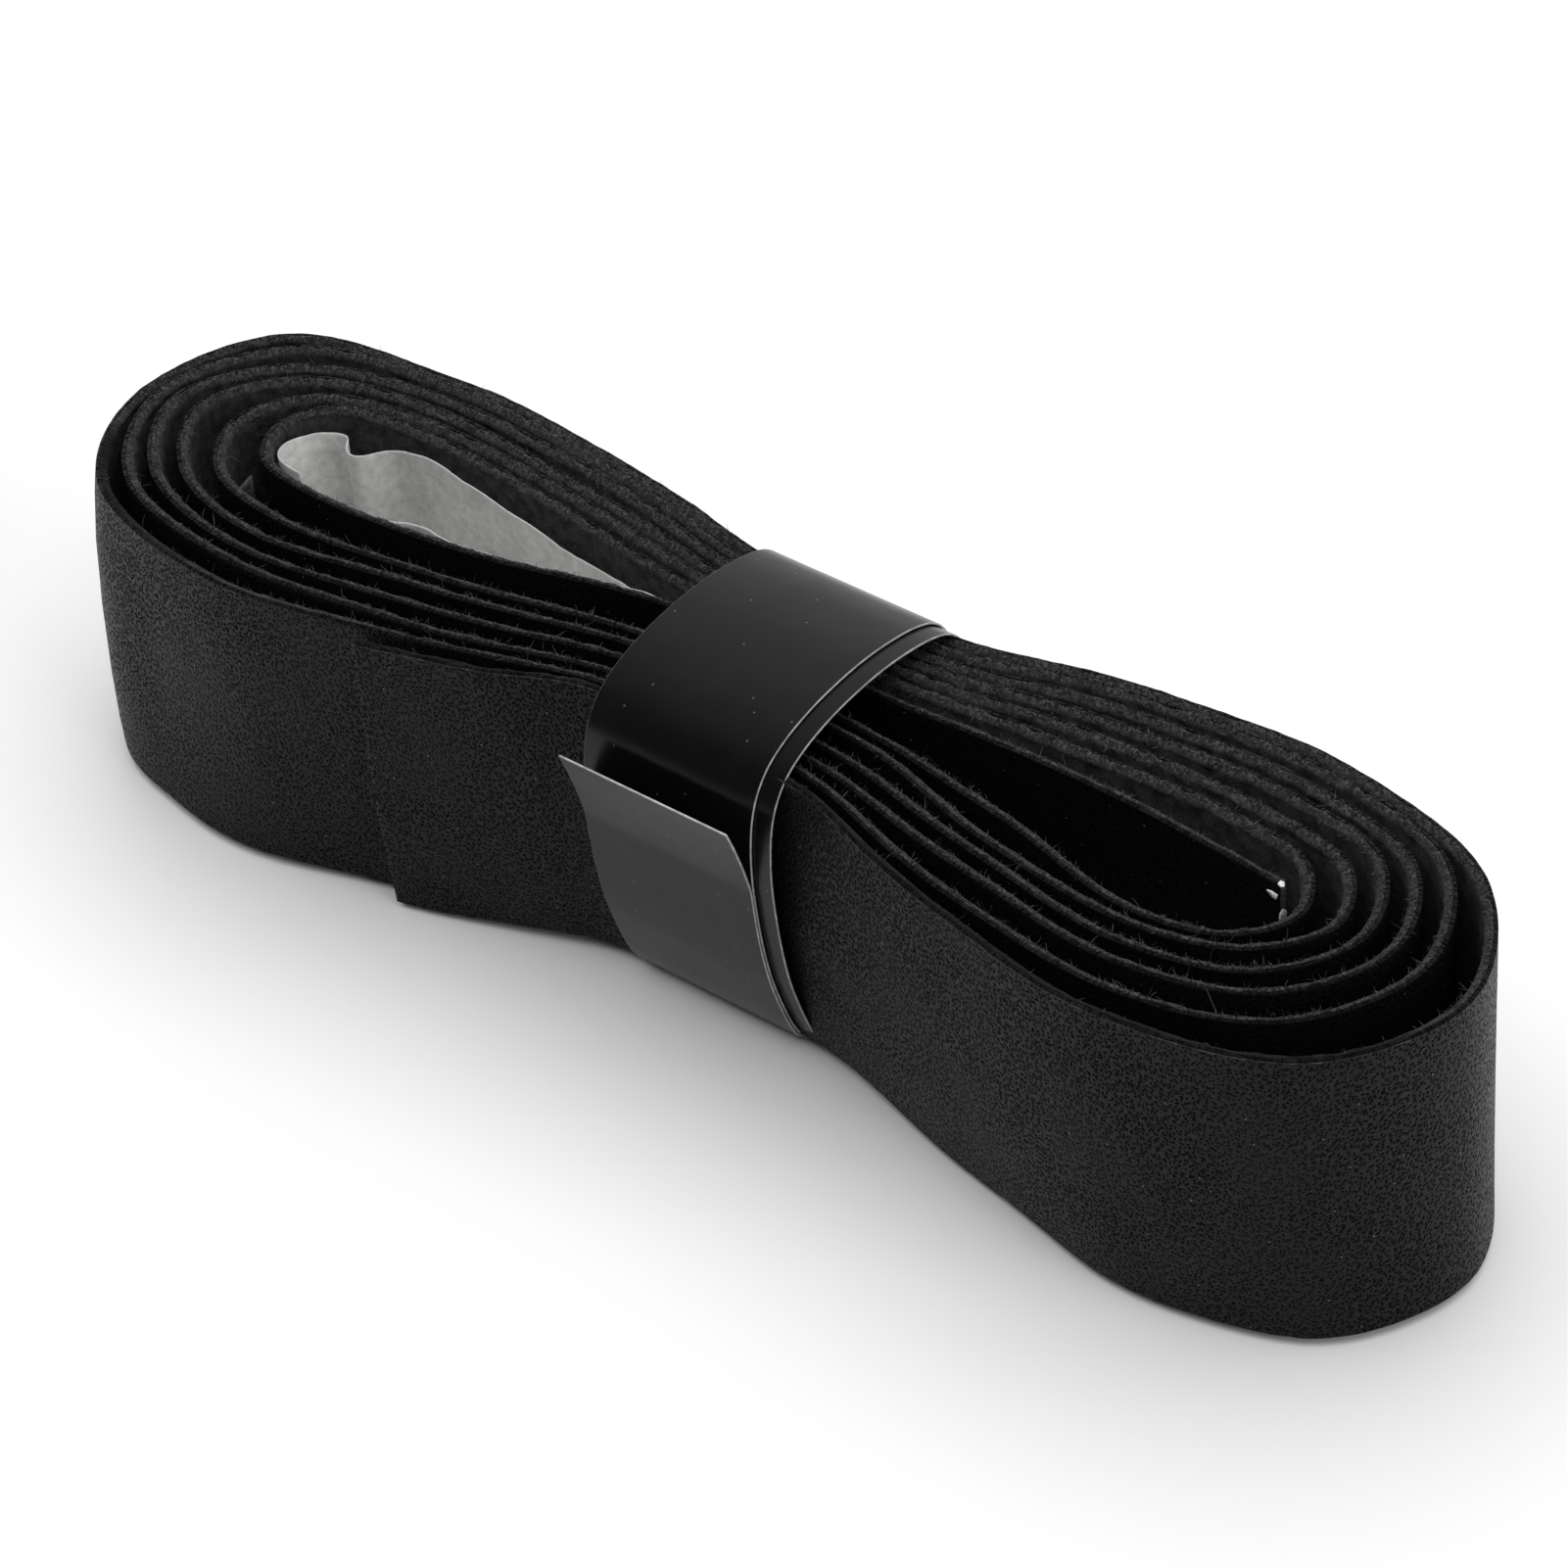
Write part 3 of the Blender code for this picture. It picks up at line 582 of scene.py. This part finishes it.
class Nodes:
    """Short calls to build a material's node tree."""

    def __init__(self, name):
        self.material = bpy.data.materials.new(name)
        self.material.use_nodes = True
        self.tree = self.material.node_tree
        self.shader = self.tree.nodes["Principled BSDF"]

    def node(self, kind, inputs=None, **settings):
        node = self.tree.nodes.new(kind)
        for key, value in settings.items():
            setattr(node, key, value)
        for key, value in (inputs or {}).items():
            self.give(node, key, value)
        return node

    def give(self, node, key, value):
        if isinstance(value, bpy.types.NodeSocket):
            self.tree.links.new(value, node.inputs[key])
        else:
            node.inputs[key].default_value = value

    def math(self, operation, first, second=0.0, third=0.0):
        inputs = {0: first, 1: second, 2: third}
        return self.node("ShaderNodeMath", inputs, operation=operation).outputs[0]

    def ramp(self, value, low, high, to_low=0.0, to_high=1.0):
        """A smooth step from to_low at low to to_high at high."""
        inputs = {"Value": value, "From Min": low, "From Max": high, "To Min": to_low,
                  "To Max": to_high}
        return self.node("ShaderNodeMapRange", inputs, interpolation_type="SMOOTHSTEP").outputs[0]

    def mix(self, share, first, second):
        """A colour between two colours, each a socket or three numbers."""
        node = self.node("ShaderNodeMix", data_type="RGBA")
        colours = [socket for socket in node.inputs if socket.type == "RGBA"]
        self.give(node, 0, share)
        for socket, value in zip(colours, (first, second)):
            if isinstance(value, bpy.types.NodeSocket):
                self.tree.links.new(value, socket)
            else:
                socket.default_value = (*value, 1.0)
        return next(socket for socket in node.outputs if socket.type == "RGBA")

    def noise(self, vector, scale, detail=2.0, distortion=0.0, roughness=0.5):
        inputs = {"Vector": vector, "Scale": scale, "Detail": detail, "Distortion": distortion,
                  "Roughness": roughness}
        return self.node("ShaderNodeTexNoise", inputs).outputs[0]

    def details(self):
        """The values that a piece's mesh carries: the vector, and its three parts."""
        vector = self.node("ShaderNodeAttribute", attribute_name="detail").outputs["Vector"]
        parts = self.node("ShaderNodeSeparateXYZ", {0: vector}).outputs
        return vector, parts

    def place(self):
        return self.node("ShaderNodeTexCoord").outputs["Object"]

    def millimetres(self):
        inputs = {0: self.place(), 3: 1.0 / MM}
        return self.node("ShaderNodeVectorMath", inputs, operation="SCALE").outputs[0]

    def above_zero(self, value):
        return self.math("MAXIMUM", value, 0.0)

    def below_zero(self, value):
        return self.above_zero(self.math("MULTIPLY", value, -1.0))

    def dust(self, flat, low, high):
        """One on rare small specks, zero elsewhere."""
        inputs = {"Vector": flat, "Scale": DUST_SCALE}
        cells = self.node("ShaderNodeTexVoronoi", inputs, voronoi_dimensions="2D")
        return self.ramp(cells.outputs["Distance"], low, high, 1.0, 0.0)

    def bump(self, height, distance, strength=1.0, normal=None):
        inputs = {"Height": height, "Distance": distance * MM, "Strength": strength}
        if normal is not None:
            inputs["Normal"] = normal
        return self.node("ShaderNodeBump", inputs).outputs[0]

    def finish(self, **inputs):
        """The material, with inputs of its shader: their names have underscores for spaces."""
        for key, value in inputs.items():
            self.give(self.shader, key.replace("_", " "), value)
        return self.material


def flattened(nodes, vector):
    """The detail vector without its edge value, so that a pattern runs on over the edge."""
    parts = nodes.node("ShaderNodeSeparateXYZ", {0: vector}).outputs
    return nodes.node("ShaderNodeCombineXYZ", {0: parts[0], 1: parts[1]}).outputs[0]


def skin_material():
    """Pebbled black skin: small close pits, patchy gloss, light along the outermost corner."""
    nodes = Nodes("strip_skin")
    vector, parts = nodes.details()
    flat = flattened(nodes, vector)
    drift = nodes.node("ShaderNodeTexNoise", {"Vector": flat, "Scale": 1.6, "Detail": 1.0})
    shifted = nodes.node("ShaderNodeVectorMath", {0: drift.outputs["Color"], 1: (0.5, 0.5, 0.5)},
                         operation="SUBTRACT").outputs[0]
    bent = nodes.node("ShaderNodeVectorMath", {0: shifted, 1: (0.4, 0.4, 0.4), 2: flat},
                      operation="MULTIPLY_ADD").outputs[0]
    drawn = nodes.node("ShaderNodeMapping", {"Vector": bent, "Scale": (1.0, 0.78, 1.0)}).outputs[0]
    cells = nodes.node("ShaderNodeTexVoronoi", {"Vector": drawn, "Scale": 3.4, "Randomness": 1.0},
                       voronoi_dimensions="2D").outputs["Distance"]
    pits = nodes.ramp(cells, 0.08, 0.50, 1.0, 0.0)
    wrinkle = nodes.noise(drawn, 2.2, 2.0, 0.6)
    lines = nodes.math("ABSOLUTE", nodes.math("SUBTRACT", wrinkle, 0.5))
    creases = nodes.ramp(lines, 0.0, 0.045, 1.0, 0.0)
    depth = nodes.math("MAXIMUM", pits, nodes.math("MULTIPLY", creases, 0.6))
    patches = nodes.noise(flat, 0.12, 3.0)
    depth = nodes.math("MULTIPLY", depth, nodes.ramp(patches, 0.3, 0.7, 0.65, 1.0))
    base = nodes.mix(patches, (0.0044, 0.0044, 0.0047), (0.0068, 0.0068, 0.0072))
    # painted shade: darker in the pits and creases
    colour = nodes.mix(depth, base, (0.0016, 0.0016, 0.0017))
    speck = nodes.dust(flat, 0.008, 0.016)
    colour = nodes.mix(nodes.math("MULTIPLY", speck, 0.5), colour, (0.35, 0.35, 0.34))
    # the cut edge darker: its own black, partly painted shade
    colour = nodes.mix(nodes.below_zero(parts[2]), colour, (0.0030, 0.0030, 0.0032))
    broken = nodes.ramp(nodes.noise(flat, 1.3, 3.0), 0.40, 0.68, 0.25, 1.0)
    corner = nodes.math("MULTIPLY", nodes.above_zero(parts[2]), broken)
    colour = nodes.mix(corner, colour, (0.15, 0.15, 0.15))
    fine = nodes.noise(flat, 9.0, 2.0)
    height = nodes.math("MULTIPLY_ADD", fine, 0.20, nodes.math("MULTIPLY", depth, -1.0))
    return nodes.finish(
        Base_Color=colour,
        Roughness=nodes.ramp(depth, 0.0, 1.0, 0.38, 0.80),
        Normal=nodes.bump(height, 0.10),
        Specular_IOR_Level=nodes.ramp(depth, 0.0, 1.0, 0.15, 0.03),
    )


def felt_tone(nodes, vector):
    """How light a matted fibre fabric is, from 0 to 1, and how high it stands."""
    mottle = nodes.noise(vector, 0.9, 3.0)
    strand = 0.0
    for scale, shift in ((1.0, 0.0), (1.5, 31.0), (2.3, 67.0)):
        moved = nodes.node("ShaderNodeVectorMath", {0: vector, 1: (shift, shift, shift)}).outputs[0]
        field = nodes.noise(moved, scale, 2.5, 1.4)
        ridge = nodes.math("ABSOLUTE", nodes.math("SUBTRACT", field, 0.5))
        strand = nodes.math("MAXIMUM", nodes.ramp(ridge, 0.0, 0.030, 1.0, 0.0), strand)
    matted = nodes.noise(vector, 5.0, 3.0, 0.4)
    strand = nodes.math("MULTIPLY", strand, nodes.ramp(matted, 0.35, 0.65, 0.15, 1.0))
    clumps = nodes.ramp(mottle, 0.30, 0.70)
    tone = nodes.math("MULTIPLY_ADD", strand, 0.55, nodes.math("MULTIPLY", clumps, 0.45))
    height = nodes.math("MULTIPLY_ADD", matted, 0.6, strand)
    return tone, height


def backing_material():
    """Dark grey felt, fuzzier and lighter where it is cut."""
    nodes = Nodes("strip_backing")
    vector, parts = nodes.details()
    tone, height = felt_tone(nodes, flattened(nodes, vector))
    colour = nodes.mix(tone, (0.010, 0.010, 0.0105), (0.110, 0.110, 0.112))
    frayed = nodes.ramp(nodes.noise(nodes.millimetres(), 4.2, 3.0, 0.8), 0.42, 0.68)
    edge = nodes.mix(frayed, (0.006, 0.006, 0.0065), (0.075, 0.075, 0.077))
    colour = nodes.mix(nodes.above_zero(parts[2]), colour, edge)
    colour = nodes.mix(nodes.below_zero(parts[2]), colour, (0.0035, 0.0035, 0.0037))
    return nodes.finish(
        Base_Color=colour,
        Roughness=0.95,
        Normal=nodes.bump(height, 0.10),
        Specular_IOR_Level=0.12,
        Sheen_Weight=0.05,
        Sheen_Roughness=0.6,
    )


def fibre_material():
    """Fibres that differ in tone, darker at random."""
    nodes = Nodes("strip_fibres")
    _, parts = nodes.details()
    mottle = nodes.noise(nodes.place(), 900.0, 2.0)
    tone = nodes.math("MULTIPLY", parts[0], nodes.ramp(mottle, 0.3, 0.7, 0.6, 1.1))
    colour = nodes.mix(tone, (0.010, 0.010, 0.0105), (0.24, 0.24, 0.245))
    return nodes.finish(Base_Color=colour, Roughness=0.85, Specular_IOR_Level=0.25)


def film_material():
    """Glossy black film with pale cut edges, faint scuffs and a little dust."""
    nodes = Nodes("tape_film")
    vector, parts = nodes.details()
    flat = flattened(nodes, vector)
    scuffs = nodes.noise(flat, 0.35, 4.0, 0.5)
    stretched = nodes.node("ShaderNodeMapping", {"Vector": flat, "Scale": (0.25, 6.0, 1.0)})
    streaks = nodes.noise(stretched.outputs[0], 0.9, 3.0)
    speck = nodes.dust(flat, 0.012, 0.022)
    film = nodes.mix(scuffs, (0.0030, 0.0030, 0.0033), (0.0050, 0.0050, 0.0054))
    film = nodes.mix(nodes.math("MULTIPLY", speck, 0.35), film, (0.25, 0.25, 0.25))
    chalky = nodes.ramp(nodes.noise(flat, 1.4, 3.0), 0.25, 0.75, 0.30, 0.62)
    edge = nodes.mix(chalky, (0.05, 0.05, 0.05), (0.85, 0.85, 0.84))
    colour = nodes.mix(parts[2], film, edge)
    roughness = nodes.math("MULTIPLY_ADD", scuffs, 0.10, nodes.math("MULTIPLY", streaks, 0.06))
    roughness = nodes.math("ADD", roughness, 0.17)
    roughness = nodes.math("MAXIMUM", roughness, nodes.math("MULTIPLY", parts[2], 0.6))
    waves = nodes.noise(flat, 0.16, 2.0)
    fine = nodes.bump(streaks, 0.004)
    return nodes.finish(
        Base_Color=colour,
        Roughness=roughness,
        Normal=nodes.bump(waves, 0.10, 1.0, fine),
        Specular_IOR_Level=0.25,
    )


def paper_material():
    """Thin pale paper, mottled and finely fibrous, with painted light on its outer face and painted
    shade on its upper cut edge.
    """
    nodes = Nodes("liner_paper")
    vector, parts = nodes.details()
    flat = flattened(nodes, vector)
    cloud = nodes.noise(flat, 0.28, 4.0, 0.3)
    blotch = nodes.noise(flat, 1.4, 3.0, 0.5)
    grain = nodes.noise(flat, 7.0, 3.0)
    tone = nodes.math("MULTIPLY_ADD", blotch, 0.45, nodes.math("MULTIPLY", cloud, 0.35))
    tone = nodes.math("MULTIPLY_ADD", grain, 0.20, tone)
    colour = nodes.mix(nodes.ramp(tone, 0.30, 0.70), (0.56, 0.56, 0.55), (0.86, 0.86, 0.85))
    # painted light: the outer face is painted whiter
    painted_outer_light = nodes.math("MULTIPLY", nodes.above_zero(parts[2]), 0.7)
    colour = nodes.mix(painted_outer_light, colour, (0.92, 0.92, 0.91))
    # painted shade: the upper cut edge is painted darker
    colour = nodes.mix(nodes.below_zero(parts[2]), colour, (0.38, 0.38, 0.37))
    return nodes.finish(
        Base_Color=colour,
        Roughness=nodes.ramp(blotch, 0.3, 0.7, 0.45, 0.7),
        Normal=nodes.bump(nodes.math("ADD", grain, blotch), 0.03),
        Specular_IOR_Level=0.4,
    )


def glue_material():
    """Tacky adhesive, slightly uneven."""
    nodes = Nodes("adhesive")
    scaled = nodes.millimetres()
    patches = nodes.noise(scaled, 0.5, 3.0, 0.5)
    streaks = nodes.noise(scaled, 3.0, 2.0)
    colour = nodes.mix(patches, (0.30, 0.28, 0.22), (0.58, 0.56, 0.48))
    return nodes.finish(
        Base_Color=colour,
        Roughness=nodes.ramp(streaks, 0.3, 0.7, 0.18, 0.42),
        Normal=nodes.bump(streaks, 0.03),
    )


def floor_material():
    """Pale matt floor, hardly mottled."""
    nodes = Nodes("pale_floor")
    tone = nodes.noise(nodes.place(), 6.0, 2.0)
    colour = nodes.mix(tone, (0.90, 0.90, 0.90), (0.93, 0.93, 0.93))
    return nodes.finish(Base_Color=colour, Roughness=0.9, Specular_IOR_Level=0.1)


# --- pieces ---
def make_strip_length(strip, prefix, span, materials):
    """Skin, backing and edge fibres over a span of the strip's length."""
    seed = STRIP_SEEDS[prefix]
    half = STRIP_THICKNESS / 2
    middle = half - SKIN_THICKNESS
    skin_edges = (SKIN_FRAY, skin_drop, skin_light)
    skin = strip_layer(strip, prefix + "_skin_cover", span, middle, half, skin_edges, SKIN_ROWS,
                       seed, materials["skin"])
    backing_edges = (EDGE_FRAY, backing_drop, backing_light)
    backing = strip_layer(strip, prefix + "_felt", span, -half, middle, backing_edges, BACKING_ROWS,
                          seed + BACKING_SEEDS, materials["backing"])
    fuzz = edge_fibres(strip, prefix + "_fibres", span, seed + FIBRE_SEEDS, materials["fibre"])
    return skin, backing, fuzz


def make_strip(materials):
    strip = Strip()
    inner_seam = strip.crossing(SEAM_INNER_X, last=False)
    tail_seam = strip.crossing(SEAM_TAIL_X, last=True)

    wound = make_strip_length(strip, "wound", (inner_seam, tail_seam), materials)
    for piece in wound:
        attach(piece, "root")
    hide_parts("grip_strip_skin")
    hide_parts("grip_strip_backing")

    inner = make_strip_length(strip, "inner_length", (0.0, inner_seam), materials)
    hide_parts("inner_end_skin")
    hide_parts("inner_end_backing")
    for piece in inner:
        bend_between(piece)

    tail = make_strip_length(strip, "tail_length", (tail_seam, strip.length), materials)
    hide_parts("outer_tail_skin")
    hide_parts("outer_tail_backing")
    for piece in tail:
        bend_between(piece)


def bend_between(piece):
    """Bakes the piece's placement into its mesh."""
    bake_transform(piece)


def band(name, line, across, thickness, material):
    """A thin band: its line's points (x, y, z), and vectors to half its width and outward."""
    half, outward = across
    along = lengths_along(line)
    end = np.zeros(len(line))
    end[[0, -1]] = 1.0
    width = np.linalg.norm(half[0]) * 2
    points, details = [], []
    for side, depth, edge in BAND_SECTION:
        points.append(line + half * side + outward * depth * thickness)
        details.append(detail_row(along, side * width / 2, np.maximum(end, edge)))
    points, details = np.stack(points, 1), np.stack(details, 1)
    return swept(name, points * MM, details, material)


def tape_lines():
    """The tape's middle line from its hidden start to the crease, and its outward vectors."""
    closed = curve_through((*TAPE_FACE, TAPE_FACE[0]), TAPE_CURVE_STEPS)
    face = respaced(closed, TAPE_STEP)[:-1]
    outward = left_normals(np.vstack((face[-1:], face, face[:1])))[1:-1]
    count = len(face)
    near_rise = int(np.argmax(face[:, 1] > CREASE_Z))
    turns = np.arange(2 * count + near_rise + 1) / count
    index = np.arange(len(turns)) % count
    inset = TAPE_PITCH * (TAPE_TURNS - turns) + TAPE_THICKNESS / 2
    flat = face[index] - outward[index] * inset[:, None]
    shift = TAPE_SHIFT * (1.0 - smooth(turns, TAPE_SHIFT_SPAN))
    line = np.column_stack((TAPE_MIDDLE_X + shift + WAIST_X, flat))
    out = np.column_stack((np.zeros(len(turns)), outward[index]))
    return line, out, count


def make_tape(materials):
    line, out, count = tape_lines()
    seam = 2 * count - TAB_SEAM_STEPS
    wound = slice(0, seam)
    half = np.zeros_like(line) + np.array((TAPE_WIDTH / 2, 0.0, 0.0))
    across = (half[wound], out[wound])
    tape = band("tape_wraps", line[wound], across, TAPE_THICKNESS, materials["film"])
    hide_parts("finishing_tape")
    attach(tape, "root")

    end = line[seam:]
    crease = end[-1]
    rise = np.arange(1, TAB_FACETS + 1) / TAB_FACETS
    lift = crease[2] + (TAB_TOP_Z - crease[2]) * rise
    lean = crease[1] - TAB_OUT * rise * (1.0 - TAB_CURVE + TAB_CURVE * rise)
    free = np.column_stack((np.full(len(rise), crease[0]), lean, lift))
    run = respaced(np.vstack((end, free)), TAPE_STEP)
    run = np.insert(run, -1, run[-1] + (run[-2] - run[-1]) * CUT_EDGE_STEP, axis=0)
    sideways = left_normals(run[:, 1:])
    outward = np.column_stack((np.zeros(len(run)), sideways))
    half = np.zeros_like(run) + np.array((TAPE_WIDTH / 2, 0.0, 0.0))
    tab = band("tape_end_and_tab", run, (half, outward), TAPE_THICKNESS, materials["film"])
    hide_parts("pull_tab")
    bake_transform(tab)


def make_liner(materials):
    route = respaced(curve_through(LINER_ROUTE, LINER_CURVE_STEPS), LINER_STEP)
    along = lengths_along(route[:, :2])
    normals = left_normals(route[:, :2])
    levels = np.append(np.linspace(0.0, LINER_LAST_ROWS[0], LINER_ROWS), LINER_LAST_ROWS[1:])
    thick = LINER_THICKNESS / 2
    crease, crease_cell, crease_slant, crease_seed = LINER_CREASES
    wrinkle, wrinkle_cell, wrinkle_slant, wrinkle_seed = LINER_WRINKLES
    ring = [(side, level) for side, row in ((1, levels), (-1, levels[::-1])) for level in row]
    points, details = [], []
    for side, level in ring:
        depth = (1.0 - level) * LINER_WIDTH
        inward = wander(along + depth * crease_slant, crease_cell, crease_seed) - 1.0
        crumple = crease * inward * (LINER_FOOT_CREASE + (1.0 - LINER_FOOT_CREASE) * level)
        fine = wander(along + depth * wrinkle_slant, wrinkle_cell, wrinkle_seed)
        crumple = crumple + wrinkle * fine
        offset = crumple * smooth(along, LINER_FLAT_START) + side * thick
        x = route[:, 0] + normals[:, 0] * offset
        y = route[:, 1] + normals[:, 1] * offset
        top = route[:, 2]
        for rise, cell, seed in LINER_TOP_WAVES:
            top = top + rise * wander(along, cell, seed)
        z = top - depth
        points.append(np.stack((x + WAIST_X, lean_in(x, y, z / STRIP_WIDTH), z), 1))
        # painted shade on the upper cut edge, painted light on the outer face
        tone = CUT_EDGE_PAINTED_SHADE if level == 1.0 else OUTER_FACE_PAINTED_LIGHT * (side > 0)
        details.append(detail_row(along, depth, tone))
    points, details = np.stack(points, 1), np.stack(details, 1)
    liner = swept("liner_sheet", points * MM, details, materials["paper"])
    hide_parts("release_liner")
    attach(liner, "root")


def flake(corners, thickness, seed):
    """A crumpled scrap: the vertices and faces of a closed sheet over a ring of corners."""
    rng = np.random.default_rng(seed)
    ring = np.array(corners, float)
    middle = ring.mean(axis=0)
    inner = middle + (ring - middle) * INNER_RING + rng.normal(0.0, CRUMPLE, ring.shape)
    front = np.vstack((middle, inner, ring))
    normal = np.cross(ring[1] - ring[0], ring[2] - ring[0])
    back = front - normal / np.linalg.norm(normal) * thickness
    count = len(ring)
    faces = []
    for k in range(count):
        j = (k + 1) % count
        faces += [(0, 1 + k, 1 + j), (1 + k, 1 + count + k, 1 + count + j, 1 + j)]
    shift = len(front)
    faces += [tuple(shift + v for v in face[::-1]) for face in faces]
    for k in range(count):
        j = (k + 1) % count
        faces.append((1 + count + j, 1 + count + k, shift + 1 + count + k, shift + 1 + count + j))
    return np.vstack((front, back)), faces


def make_scraps(materials):
    """Bits of paper left on the cut of the inner end, and a corner of film in the left loop."""
    vertices, faces = [], []
    for number, corners in enumerate(PAPER_SCRAPS):
        points, rings = flake(corners, LINER_THICKNESS, SCRAP_SEED + number)
        shift = sum(len(part) for part in vertices)
        faces += [tuple(shift + v for v in face) for face in rings]
        vertices.append(points)
    points = np.vstack(vertices)
    details = points.copy()
    details[:, 2] = 0.0
    points = points + np.array((WAIST_X, 0.0, 0.0))
    scraps = new_piece("paper_scraps", points * MM, faces, materials["paper"], details,
                       smooth_faces=False)
    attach(scraps, "inner_end")

    points, faces = flake(FILM_CORNER, TAPE_THICKNESS / 2, CORNER_SEED)
    details = points.copy()
    details[:, 2] = FILM_CORNER_TONE
    details[len(FILM_CORNER) + 1:len(FILM_CORNER) + 3, 2] = FILM_CORNER_EDGE
    points = points + np.array((WAIST_X, 0.0, 0.0))
    corner = new_piece("film_corner", points * MM, faces, materials["film"], details)
    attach(corner, "root")


# --- stage ---
def make_camera():
    """The camera at the photograph's viewing angle."""
    eye = Vector(CAMERA_AT) * MM
    camera = bpy.data.objects.new("camera", bpy.data.cameras.new("camera"))
    camera.data.sensor_width = SENSOR
    camera.data.lens = CAMERA_LENS
    turn = Matrix((CAMERA_RIGHT, CAMERA_UP, CAMERA_BACK)).transposed().to_4x4()
    camera.matrix_world = Matrix.Translation(eye) @ turn
    camera.data.clip_start, camera.data.clip_end = CAMERA_RANGE
    bpy.context.scene.collection.objects.link(camera)
    bpy.context.scene.camera = camera


def make_light(name, place, size, power):
    """A large soft panel that lights the scene without showing in the gloss."""
    data = bpy.data.lights.new(name, "AREA")
    data.shape = "RECTANGLE"
    data.size, data.size_y = size
    data.energy = power
    light = bpy.data.objects.new(name, data)
    light.location = place
    light.rotation_mode = "QUATERNION"
    to_origin = Vector((0.0, 0.0, 0.0)) - Vector(place)
    light.rotation_quaternion = to_origin.to_track_quat("-Z", "Y")
    light.visible_glossy = False
    bpy.context.scene.collection.objects.link(light)


def make_world():
    """A studio that is bright low down and behind the roll, and dark above and in front."""
    world = bpy.data.worlds.new("studio")
    world.use_nodes = True
    tree = world.node_tree
    direction = tree.nodes.new("ShaderNodeTexCoord").outputs["Generated"]
    facing = tree.nodes.new("ShaderNodeVectorMath")
    facing.operation = "DOT_PRODUCT"
    facing.inputs[1].default_value = STUDIO_BRIGHT_WAY
    tree.links.new(direction, facing.inputs[0])
    level = tree.nodes.new("ShaderNodeMapRange")
    level.interpolation_type = "SMOOTHSTEP"
    for key, value in zip(("From Min", "From Max", "To Min", "To Max"), STUDIO_RAMP):
        level.inputs[key].default_value = value
    tree.links.new(facing.outputs["Value"], level.inputs["Value"])
    tree.links.new(level.outputs[0], tree.nodes["Background"].inputs["Strength"])
    tree.nodes["Background"].inputs["Color"].default_value = (1.0, 1.0, 1.0, 1.0)
    bpy.context.scene.world = world


def make_stage():
    """Floor, studio and lights."""
    bpy.ops.mesh.primitive_plane_add(size=FLOOR_SIZE, location=(0.0, 0.0, FLOOR_Z))
    floor = bpy.context.object
    floor.name = "floor"
    floor.data.materials.append(floor_material())
    make_world()
    make_light("overhead", *OVERHEAD_LIGHT)
    make_light("side", *SIDE_LIGHT)
    bpy.context.scene.view_settings.view_transform = "Standard"


def main():
    materials = {
        "skin": skin_material(),
        "backing": backing_material(),
        "fibre": fibre_material(),
        "film": film_material(),
        "paper": paper_material(),
    }
    make_camera()
    make_stage()
    make_strip(materials)
    make_tape(materials)
    make_liner(materials)
    make_scraps(materials)
    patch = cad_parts["adhesive_patch"]
    patch.data.materials.clear()
    patch.data.materials.append(glue_material())


main()
